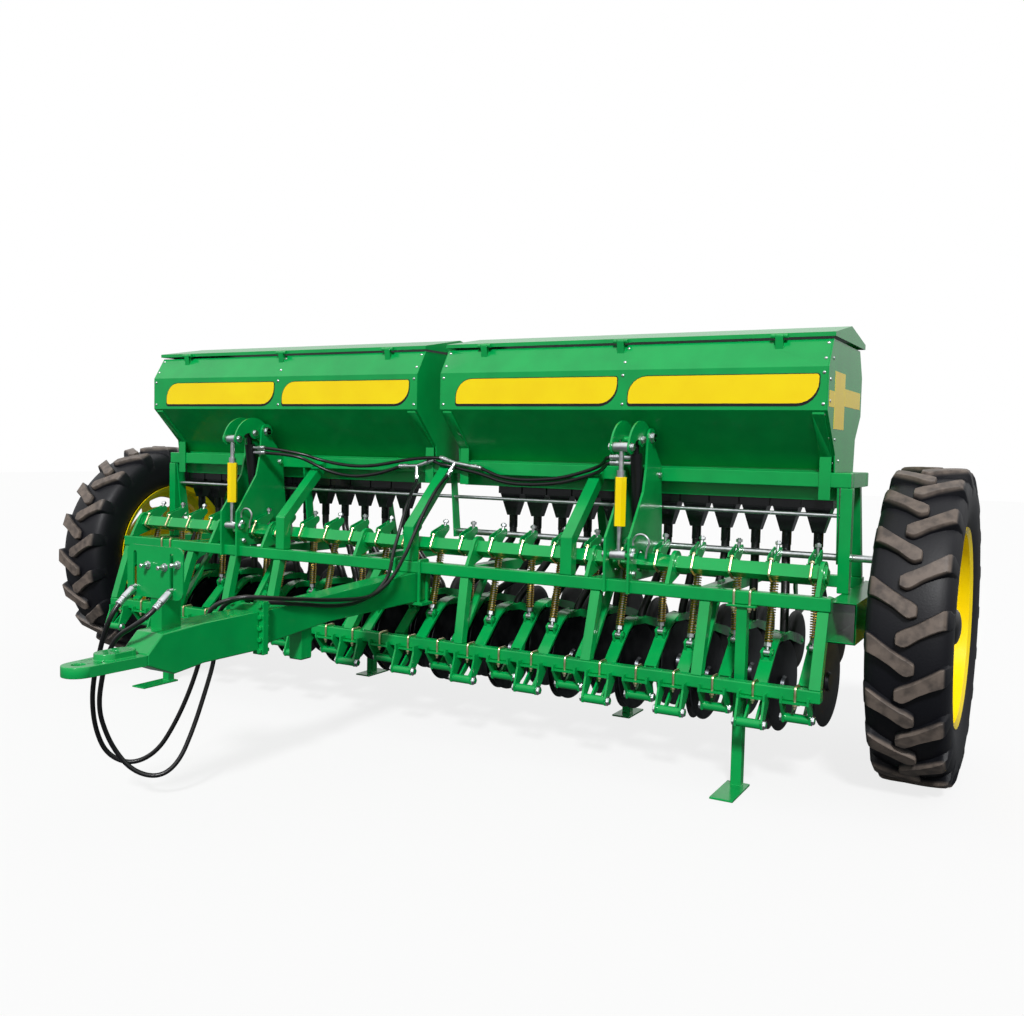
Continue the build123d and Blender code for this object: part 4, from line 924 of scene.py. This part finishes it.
flat_on_bar = {"centre_z": 0.0, "degrees": 0, "nut_way": -1}
bar_bolt = u_bolt(0.0275, low=0.347, high=0.423, centre_y=bar_y + 0.0225, nut_from=0.365, **flat_on_bar)
stand_bolt = u_bolt(stand_half, low=0.659, high=0.740, centre_y=0.345, nut_from=0.677, **flat_on_bar)
stand_x = np.array([side * stand_middle_x + offset for side in (-1, 1) for offset in (-stand_half, stand_half)])
frame_bolts = joined([copied(bar_bolt, at_rows(rows)), copied(stand_bolt, at_rows(stand_x))])
make("frame-u-bolts", frame_bolts, "frame", gold_zinc, ["frame_u_bolts"])

shaft_line = in_side_plane(u_line(shaft_half, -0.040, shaft_half) * (1, -1), shaft_y, shaft_z, shaft_tilt)
shaft_shapes = [wire(shaft_line, bolt_r, 8)]
axis = in_side_plane([(0, 1)], 0, 0, shaft_tilt)[0]
for side in (-shaft_half, shaft_half):
    place = in_side_plane([(side, 0.0315)], shaft_y, shaft_z, shaft_tilt)[0]
    shaft_shapes.append(hex_nut(place, axis, bolt_flats, 0.007, washer=False))
make(
    "shaft-u-bolts",
    copied(joined(shaft_shapes), at_rows(rows)),
    "lift_shaft",
    gold_zinc,
    ["shaft_u_bolts"],
)

# %% [markdown]
# ## Bolts at the pivots and joints
# Every opener turns on a bolt with a big zinc nut at each end. The drawbar's two halves are joined by bolts
# through their end plates, painted over with the frame, and the towers carry nuts on their pins.

# %% Nuts and bolt heads
pivot_out = 0.0512
joint_half, joint_front_y, joint_back_y = 0.067, -0.670, -0.646
joint_heights = np.linspace(0.507, 0.667, 5)
# Columns: out from the tower's middle, y, z, width over the nut's flats, height
tower_pins = [
    (0.055, 0.505, 1.295, 0.034, 0.012),
    (0.055, 0.325, 0.832, 0.026, 0.010),
    (0.041, 0.325, 1.255, 0.026, 0.010),
    (0.041, 0.435, 1.285, 0.026, 0.010),
    (0.055, 0.335, 0.850, 0.019, 0.008),
    (0.055, 0.345, 0.760, 0.019, 0.008),
    (0.055, 0.600, 1.145, 0.019, 0.008),
]

pivot_nuts = []
for row_name, row_x in row_sets.items():
    for side in (-1, 1):
        nut = hex_nut(pivot[row_name] + (side * pivot_out, 0, 0), (side, 0, 0), 0.027, 0.0085)
        pivot_nuts.append(copied(nut, at_rows(row_x)))
make("pivot-nuts", joined(pivot_nuts), "frame", clear_zinc)

joint_bolts = []
for x in (-joint_half, joint_half):
    for z in joint_heights:
        joint_bolts.append(hex_nut((x, joint_front_y, z), (0, -1, 0), 0.017, 0.008))
        joint_bolts.append(hex_nut((x, joint_back_y, z), (0, 1, 0), 0.017, 0.010))
make("drawbar-joint-bolts", joined(joint_bolts), "frame", green_enamel)

tower_nuts = []
for middle in (tower_middle["right"], tower_middle["left"]):
    for side in (-1, 1):
        for out, y, z, flats, height in tower_pins:
            tower_nuts.append(hex_nut((middle + side * out, y, z), (side, 0, 0), flats, height))
make("tower-nuts", joined(tower_nuts), "frame", clear_zinc)

# %% [markdown]
# ## Pin handles
# The locking pin beside each tower is bent from round steel, with a loop to pull it by. The loop is most of a
# circle that runs on into a straight shank.

# %% Pin handles
handle_r, handle_wire_r = 0.034, 0.0045
sweep = np.linspace(math.radians(200), math.radians(-35), 24)
loop = np.stack([handle_r * np.cos(sweep), np.zeros_like(sweep), handle_r * np.sin(sweep)], 1)
shank = loop[-1] + np.array([[-0.004, 0, -0.018], [-0.006, 0, -0.040]])
handle = wire(np.concatenate([loop, shank]), handle_wire_r, 8, (0, 1.0, 0))
handle_places = [(1.088, 0.330, 0.885), (-0.962, 0.330, 0.885)]
make("pin-handles", copied(handle, handle_places), "frame", clear_zinc)

# %% [markdown]
# ## Drive chain
# A roller chain turns the seed shaft from the right wheel. Its line is two straight runs and two arcs round
# the sprockets. Links sit at equal lengths along it, every second one narrower, with a pin at each joint.

# %% Drive chain
chain_x = 1.915
top_centre, low_centre = np.array([0.690, 0.848]), np.array([0.812, 0.603])
top_r, low_r = 0.0763, 0.0643
chain_pitch, link_half, link_t = 0.0254, 0.0052, 0.0015
pin_profile = [(-0.0068, 0.0018), (-0.0066, 0.0022), (0.0066, 0.0022), (0.0068, 0.0018)]
roller_profile = [(-0.003, 0.0040), (-0.0029, 0.0042), (0.0029, 0.0042), (0.003, 0.0040)]
outer_plates, inner_plates = (-0.0062, 0.0047), (-0.0046, 0.0031)
between = low_centre - top_centre
heading = math.atan2(between[1], between[0])
wrap = math.acos((top_r - low_r) / float(np.linalg.norm(between)))


def arc(centre, radius, start, stop, count):
    """Points of an arc: centre + radius * (cos, sin) from a start to a stop angle."""
    angle = np.linspace(start, stop, count)
    return centre + radius * np.stack([np.cos(angle), np.sin(angle)], 1)


around = np.concatenate(
    [
        arc(low_centre, low_r, heading + wrap, heading - wrap, 60),
        arc(top_centre, top_r, heading - wrap, heading - 2 * math.pi + wrap, 60),
    ]
)
around = np.concatenate([around, around[:1]])
lengths = np.concatenate([[0], np.cumsum(np.linalg.norm(np.diff(around, axis=0), axis=1))])
link_count = 2 * round(lengths[-1] / chain_pitch / 2)
stations = np.arange(link_count + 1) / link_count * lengths[-1]
pins = np.stack([np.interp(stations, lengths, around[:, k]) for k in (0, 1)], 1)


def link_outline(pitch, half):
    """A figure of eight: half circles round both pins, drawn in at the waist."""
    angle = np.linspace(math.pi / 2, 3 * math.pi / 2, 7)
    left = np.stack([half * np.cos(angle), half * np.sin(angle)], 1)
    right = left * (-1, -1) + (pitch, 0)
    waist = half * 0.72
    return np.concatenate([left, [(pitch / 2, -waist)], right, [(pitch / 2, waist)]])


links = []
for number in range(link_count):
    first, second = pins[number], pins[number + 1]
    pitch = float(np.linalg.norm(second - first))
    u = np.array([0, *(second - first)]) / pitch
    v = np.cross(u, (1.0, 0, 0))
    for x0 in outer_plates if number % 2 else inner_plates:
        origin = np.array([chain_x + x0, *first])
        links.append(plate(link_outline(pitch, link_half), origin, v, -u, link_t, 0.0002))
    links.append(turned(pin_profile, (chain_x, *first), (1, 0, 0), 8))
    links.append(turned(roller_profile, (chain_x, *first), (1, 0, 0), 10))
make("drive-chain", joined(links), "frame", disc_steel, ["drive_chain"])

# %% [markdown]
# ## Sprocket teeth
# The solids' sprockets are plain discs, so each gets a toothed rim: an outline whose radius rises and falls
# with the cosine of the tooth count times the angle.

# %% Sprocket teeth
tooth_wave, sprocket_t = 0.0032, 0.005


def toothed(centre, radius, teeth):
    """A sprocket's rim: radius + a tooth wave, cos of the tooth count times the angle."""
    angle = np.arange(teeth * 8) * 2 * math.pi / (teeth * 8)
    reach = radius + tooth_wave * np.cos(teeth * angle)
    outline = np.stack([reach * np.cos(angle), reach * np.sin(angle)], 1)
    return plate(outline, (chain_x - sprocket_t / 2, *centre), (0, 1, 0), (0, 0, 1), sprocket_t, 0.0008)


make("top-sprocket-teeth", toothed(top_centre, 0.0725, 19), "frame", clear_zinc)
make("low-sprocket-teeth", toothed(low_centre, 0.0605, 16), "wheel_right", clear_zinc)

# %% [markdown]
# ## Yellow panels
# Four yellow panels lie on the hoppers' front sheets. Each is a long plate whose top left and bottom right
# corners are well rounded, on a black backing that shows as a dark lower edge. They are left bare.

# %% Yellow panels
panel_y = 0.459
panel_low, panel_high = 1.430, 1.538
panel_t, panel_edge = 0.0010, 0.0003
panel_corners, backing_corners = (0.080, 0.010), (0.085, 0.012)
backing_ends, backing_low, backing_high = 0.004, 0.011, 0.003


def corner_arc(x, z, radius, start):
    """A quarter circle of seven points from a start angle, counted anticlockwise."""
    angle = math.radians(start) + np.linspace(0, math.pi / 2, 7)
    return np.stack([x + radius * np.cos(angle), z + radius * np.sin(angle)], 1)


def panel_outline(x0, x1, z0, z1, big, small):
    """A rectangle with big top left and bottom right corners and small other corners."""
    return np.concatenate(
        [
            corner_arc(x1 - small, z1 - small, small, 0),
            corner_arc(x0 + big, z1 - big, big, 90),
            corner_arc(x0 + small, z0 + small, small, 180),
            corner_arc(x1 - big, z0 + big, big, 270),
        ]
    )


panel_ends = ((-1.651, -0.910), (-0.858, -0.106), (0.146, 0.913), (0.961, 1.713))
backings, panels = [], []
for x0, x1 in panel_ends:
    z0, z1 = panel_low - backing_low, panel_high + backing_high
    back = panel_outline(x0 - backing_ends, x1 + backing_ends, z0, z1, *backing_corners)
    face = panel_outline(x0, x1, panel_low, panel_high, *panel_corners)
    backings.append(plate(back, (0, panel_y, 0), (1, 0, 0), (0, 0, 1), panel_t, panel_edge))
    panels.append(plate(face, (0, panel_y - panel_t, 0), (1, 0, 0), (0, 0, 1), panel_t, panel_edge))
make("panel-backings", joined(backings), "frame", black_enamel)
make("yellow-panels", joined(panels), "frame", yellow_enamel)

# %% [markdown]
# ## Sheet screws and end strips
# Rows of domed screws hold the hoppers' folded sheets to their frames, along the folds and down the ends.
# Three studs with nuts stand on the plate that holds the hose couplings. Bare yellow strips cross on the right
# end panel. A screw's head is a quarter ellipse carried round its axis.

# %% Screws and strips
fold_bends = np.array([(0.682, 1.182), (0.459, 1.405), (0.459, 1.565), (0.525, 1.672)])
fold_ways = np.array([(-0.707, -0.707), (-1.0, 0.0), (-0.851, 0.525)])


def on_fold(part, share):
    """A place on one of the three front sheets, as a share from its lower to its upper fold, in (y, z)."""
    return fold_bends[part] * (1 - share) + fold_bends[part + 1] * share


def screw_head(place, axis, radius=0.0065):
    """A domed head: height times sin and radius times cos of an angle from the rim to the crown."""
    rise = np.linspace(0, math.pi / 2, 5)
    profile = np.stack([radius * 0.6 * np.sin(rise), radius * np.cos(rise) + 0.0002], 1)
    return turned(profile, place, axis, 10)


end_x, hose_plate_y = 1.747, -1.070
column_x = (-1.730, -0.884, -0.080, 0.080, 0.937, 1.730)
middle_columns = (-0.884, 0.937)
# Each screw of a column: which of the three sheets it sits on, and its share of the way up that sheet
column_screws = ((0, 0.12), (0, 0.55), (0, 0.93), (1, 0.14), (1, 0.86), (2, 0.3), (2, 0.85))
end_screws = ((0.53, 1.60), (0.49, 1.52), (0.49, 1.44), (0.60, 1.30), (0.68, 1.22))
stud_places = ((-0.044, 0.839), (0.033, 0.837), (0.091, 0.849))
stud_profile = [(0, 0.007), (0.030, 0.007), (0.032, 0.005)]

screws = []
for x in column_x:
    for part, share in column_screws:
        if x in middle_columns and part == 0:
            continue
        y, z = on_fold(part, share)
        screws.append(screw_head((x, y, z), (0, *fold_ways[part])))
for side in (-1, 1):
    screws += [screw_head((side * end_x, y, z), (side, 0, 0)) for y, z in end_screws]
for x, z in stud_places:
    screws.append(turned(stud_profile, (x, hose_plate_y, z), (0, -1, 0), 12))
    screws.append(hex_nut((x, hose_plate_y, z), (0, -1, 0), 0.019, 0.010))
make("sheet-screws", joined(screws), "frame", clear_zinc)

# The three strips keep clear of each other: y from, y to, z from, z to
strip_boxes = ((0.570, 0.755, 1.340, 1.556), (0.480, 0.568, 1.420, 1.480), (0.757, 1.070, 1.432, 1.500))
strips = []
for y0, y1, z0, z1 in strip_boxes:
    outline = [(y0, z0), (y1, z0), (y1, z1), (y0, z1)]
    strips.append(plate(outline, (end_x, 0, 0), (0, 1, 0), (0, 0, 1), 0.0008, 0.0002))
make("end-strips", joined(strips), "frame", yellow_enamel)

# %% [markdown]
# ## Press wheels
# A rubber tyre with a round crown runs behind each pair of discs to close the furrow, on a pressed steel disc.
# Both are turned profiles; the tyre's is half of a squashed circle on a flat seat.

# %% Press wheels
press_r, press_half = 0.120, 0.020
press_seat, press_crown_h, press_squash = 0.036, 0.026, 0.96
press_offset = np.array([0, 0.640, 0.200])
shares = np.linspace(-1, 1, 11)
dips = press_crown_h * (1 - np.sqrt(np.maximum(0.0, 1 - (press_squash * shares) ** 2)))
tyre_profile = [(-press_half, press_r - press_seat)]
tyre_profile += [(press_half * share, press_r - dip) for share, dip in zip(shares, dips)]
tyre_profile += [(press_half, press_r - press_seat)]
web_profile = [
    (-0.019, 0.0083),
    (-0.019, 0.022),
    (-0.004, 0.024),
    (-0.004, 0.078),
    (-0.015, 0.084),
    (0.015, 0.084),
    (0.004, 0.078),
    (0.004, 0.024),
    (0.019, 0.022),
    (0.019, 0.0083),
]
for row_name, row_x in row_sets.items():
    place = pivot[row_name] + press_offset
    make(
        f"press-tyres-{row_name}",
        copied(turned(tyre_profile, place, (1, 0, 0), 40), at_rows(row_x)),
        f"openers_{row_name}",
        wheel_rubber,
        [f"press_wheels_{row_name}"],
    )
    make(
        f"press-wheel-webs-{row_name}",
        copied(turned(web_profile, place, (1, 0, 0), 28), at_rows(row_x)),
        f"openers_{row_name}",
        yellow_enamel,
    )

# %% [markdown]
# ## Farm tyres
# The road wheels carry bias tyres with tall slanting lugs that bite into soft soil. The carcass is a turned
# profile. A lug is a bar whose section changes from a narrow nose at the middle to a broad shoulder that runs
# down the side wall, so it is a row of sections from a short table; the two sides are half a pitch apart.

# %% Farm tyres
wheel_x = 2.079
lug_count = 19
lug_first = 113.2
# Columns: place across from the middle, lower and upper edge in degrees behind the nose, top and foot radius
lug_table = np.array(
    [
        (-0.032, 3.4, 1.3, 0.597, 0.556),
        (-0.029, 4.0, 0.9, 0.602, 0.556),
        (-0.006, 5.5, 0.0, 0.603, 0.556),
        (0.012, 6.2, 0.9, 0.603, 0.556),
        (0.045, 8.1, 3.3, 0.603, 0.556),
        (0.084, 10.6, 5.4, 0.602, 0.554),
        (0.112, 12.6, 6.6, 0.600, 0.540),
        (0.126, 13.1, 6.9, 0.592, 0.515),
        (0.137, 12.9, 7.2, 0.564, 0.498),
        (0.1412, 12.2, 7.8, 0.532, 0.490),
    ]
)


def lug(middle, towards, nose):
    """One lug: at each place across, eight points up one flank, over a softly rounded top, down the other."""
    across = np.concatenate([lug_table[:2, 0], np.linspace(-0.020, lug_table[-1, 0], 18)])
    low, high, top, foot = (np.interp(across, lug_table[:, 0], lug_table[:, k])[:, None] for k in (1, 2, 3, 4))
    depth = np.array([[1.0, 0.12, 0.03, 0.0, 0.0, 0.03, 0.12, 1.0]])
    radius = top - (top - foot) * depth
    flare = np.array([[1.4, 0.2, 0.05, -0.15, 0.15, -0.05, -0.2, -1.4]])
    degrees = np.concatenate([np.repeat(low, 4, 1), np.repeat(high, 4, 1)], 1) + flare
    angle = np.radians(nose - degrees)
    x = np.broadcast_to(middle + towards * across[:, None], radius.shape)
    rings = np.stack([x, axle_y + radius * np.cos(angle), axle_z + radius * np.sin(angle)], -1)
    return facing_out(capped(rings, len(across), 8))


side_wall = [(0.100, 0.360), (0.124, 0.396), (0.138, 0.445), (0.142, 0.490), (0.139, 0.530), (0.128, 0.553)]
tyre_crown = [(0.112, 0.565), (0.084, 0.573), (0.045, 0.5765), (0.0, 0.578)]
half_profile = np.array(side_wall + tyre_crown)
carcass = np.concatenate([half_profile * (-1, 1), half_profile[-2::-1]])
noses = lug_first + np.arange(lug_count) * 360 / lug_count
for side_name, side in (("left", -1), ("right", 1)):
    middle = side * wheel_x
    shapes = [ring(carcass, (middle, axle_y, axle_z), (1, 0, 0))]
    shapes += [lug(middle, -1, nose) for nose in noses]
    shapes += [lug(middle, 1, nose + 180 / lug_count) for nose in noses]
    body, stands_for = f"wheel_{side_name}", [f"tyre_{side_name}"]
    make(f"farm-tyre-{side_name}", joined(shapes), body, tyre_rubber, stands_for)

# %% [markdown]
# ## Slotted rims
# Each rim is a rolled steel well with a pressed centre disc, cut by eight curved slots that save weight and
# let mud fall out. The well is a closed outline carried round the axle. The disc is made of eight equal parts:
# in each, the rim of a slot is joined to the part's own border, back and front.

# %% Slotted rims
slot_count, slot_ring_r, slot_half, slot_reach = 8, 0.280, 0.028, 0.054
disc_in, disc_from, disc_to = 0.0853, 0.236, 0.320
disc_near, disc_far = 0.010, 0.020
slot_points = 48


def slot_part(side, number):
    """One part of the disc: polar points of its border and of its slot at equal angles t round the slot."""
    t = np.arange(slot_points) * 2 * math.pi / slot_points
    way = np.stack([np.cos(t), np.sin(t)], 1)
    border = way / np.abs(way).max(1, keepdims=True)
    turn_angle = number * 2 * math.pi / slot_count
    edge_angle = turn_angle + border[:, 0] * math.pi / slot_count
    edge_r = (disc_from + disc_to) / 2 + border[:, 1] * (disc_to - disc_from) / 2
    along = slot_reach * np.clip(way[:, 0] * 2.5, -1, 1) + slot_half * way[:, 0]
    hole_angle, hole_r = turn_angle + along / slot_ring_r, slot_ring_r + slot_half * way[:, 1]
    rings = []
    for x, angle, radius in (
        (disc_near, edge_angle, edge_r),
        (disc_near, hole_angle, hole_r),
        (disc_far, hole_angle, hole_r),
        (disc_far, edge_angle, edge_r),
    ):
        place = np.full_like(angle, side * (wheel_x + x))
        rings.append(np.stack([place, axle_y + radius * np.cos(angle), axle_z + radius * np.sin(angle)], 1))
    points, faces = capped(np.array(rings), len(rings), slot_points)
    return facing_out((points, faces[:1]))


well_half = [(-0.125, 0.380), (-0.115, 0.358), (-0.060, 0.354), (-0.040, 0.316)]
well_inner = well_half + [(-x, radius) for x, radius in well_half[::-1]]
well_outer = [(0.119, 0.380), (0.102, 0.3597), (-0.102, 0.3597), (-0.119, 0.380)]
for side_name, side in (("left", -1), ("right", 1)):
    centre, axis = (side * wheel_x, axle_y, axle_z), (side, 0, 0)
    inner_disc = [(disc_near, disc_in), (disc_near, disc_from), (disc_far, disc_from), (disc_far, disc_in)]
    shapes = [ring(well_inner + well_outer, centre, axis), ring(inner_disc, centre, axis)]
    shapes += [slot_part(side, number) for number in range(slot_count)]
    body, stands_for = f"wheel_{side_name}", [f"rim_{side_name}"]
    make(f"slotted-rim-{side_name}", joined(shapes), body, yellow_enamel, stands_for)

# %% [markdown]
# ## Wheel nuts and hub caps
# Eight nuts on a circle hold each rim to its hub, and a domed cap keeps dirt out of the bearing. The dome is
# a quarter ellipse carried round the axle.

# %% Wheel nuts and hub caps
nut_count, nut_ring_r = 8, 0.105
wheel_stud = [(0, 0.007), (0.024, 0.007), (0.026, 0.005)]
quarter = np.linspace(0, math.pi / 2, 8)
dome = [(0.0, 0.070)] + [(0.006 + 0.024 * math.sin(a), 0.068 * math.cos(a) + 0.0005) for a in quarter]
for side_name, side in (("left", -1), ("right", 1)):
    axis = (side, 0, 0)
    nuts = []
    for angle in np.arange(nut_count) * 2 * math.pi / nut_count + math.pi / nut_count:
        y, z = axle_y + nut_ring_r * math.cos(angle), axle_z + nut_ring_r * math.sin(angle)
        place = (side * (wheel_x + disc_far), y, z)
        nuts.append(hex_nut(place, axis, 0.024, 0.014))
        nuts.append(turned(wheel_stud, place, axis, 10))
    make(f"wheel-nuts-{side_name}", joined(nuts), f"wheel_{side_name}", clear_zinc)
    cap = turned(dome, (side * (wheel_x + 0.090), axle_y, axle_z), axis, 32)
    make(f"hub-cap-{side_name}", cap, f"wheel_{side_name}", black_enamel)

# %% [markdown]
# ## Light, floor and white background
# A broad soft sun from the front right and an even pale sky light the machine at a plain level. The photo is
# cut out on white, so what the camera and mirror-like paint see of sky and floor is white, while the floor
# still takes the machine's shadow.

# %% Sun, sky and floor
sun_power, sun_width, sun_tilt, sun_turn = 2.8, 8, 50, 24
sky_plain, sky_low, sky_high, sky_high_from = 0.5, 0.36, 1.15, 0.5
floor_half, floor_dark, floor_pale, floor_glow = 30.0, "#55585A", "#E6E6E6", 0.8

sun = bpy.data.lights.new("sun", "SUN")
sun.energy = sun_power
sun.angle = math.radians(sun_width)
sun_object = bpy.data.objects.new("sun", sun)
bpy.context.scene.collection.objects.link(sun_object)
sun_object.rotation_euler = (math.radians(sun_tilt), 0, math.radians(sun_turn))

world = bpy.data.worlds.new("sky")
bpy.context.scene.world = world
world.use_nodes = True
sky = world.node_tree
background = sky.nodes["Background"]
path = node(sky, "ShaderNodeLightPath")
seen = node(
    sky,
    "ShaderNodeMath",
    {"operation": "MAXIMUM"},
    {0: path.outputs["Is Camera Ray"], 1: path.outputs["Is Transmission Ray"]},
)
direction = node(sky, "ShaderNodeTexCoord").outputs["Generated"]
sky_way = node(sky, "ShaderNodeSeparateXYZ", inputs={"Vector": direction})
overhead = node(
    sky,
    "ShaderNodeMapRange",
    inputs={"Value": sky_way.outputs["Z"], "From Max": sky_high_from, "To Min": sky_low, "To Max": sky_high},
)
lit = node(
    sky, "ShaderNodeMix", inputs={0: path.outputs["Is Glossy Ray"], 2: sky_plain, 3: overhead.outputs["Result"]}
)
level_now = node(sky, "ShaderNodeMix", inputs={0: seen.outputs[0], 2: lit.outputs[0], 3: 1.0})
sky.links.new(level_now.outputs[0], background.inputs["Strength"])
background.inputs["Color"].default_value = (1, 1, 1, 1)

floor_mesh = bpy.data.meshes.new("floor")
floor_corners = [(x * floor_half, y * floor_half, 0) for x, y in ((-1, -1), (1, -1), (1, 1), (-1, 1))]
floor_mesh.from_pydata(floor_corners, [], [(0, 1, 2, 3)])
floor = bpy.data.objects.new("floor", floor_mesh)
bpy.context.scene.collection.objects.link(floor)
ground = bpy.data.materials.new("white-studio-floor")
ground.use_nodes = True
tree = ground.node_tree
shader = tree.nodes["Principled BSDF"]
shader.inputs["Roughness"].default_value = 0.9
glow = node(tree, "ShaderNodeEmission", inputs={"Color": (1, 1, 1, 1), "Strength": 1.0})
path = node(tree, "ShaderNodeLightPath")
floor_tone = node(
    tree,
    "ShaderNodeMix",
    {"data_type": "RGBA"},
    {0: path.outputs["Is Camera Ray"], 6: linear(floor_dark), 7: linear(floor_pale)},
)
tree.links.new(floor_tone.outputs[2], shader.inputs["Base Color"])
share = node(
    tree, "ShaderNodeMath", {"operation": "MULTIPLY"}, {0: path.outputs["Is Camera Ray"], 1: floor_glow}
)
blend = node(tree, "ShaderNodeMixShader", inputs={0: share.outputs[0]})
tree.links.new(shader.outputs[0], blend.inputs[1])
tree.links.new(glow.outputs[0], blend.inputs[2])
tree.links.new(blend.outputs[0], tree.nodes["Material Output"].inputs["Surface"])
floor_mesh.materials.append(ground)
bpy.context.scene.view_settings.view_transform = "Standard"
print("stage set")
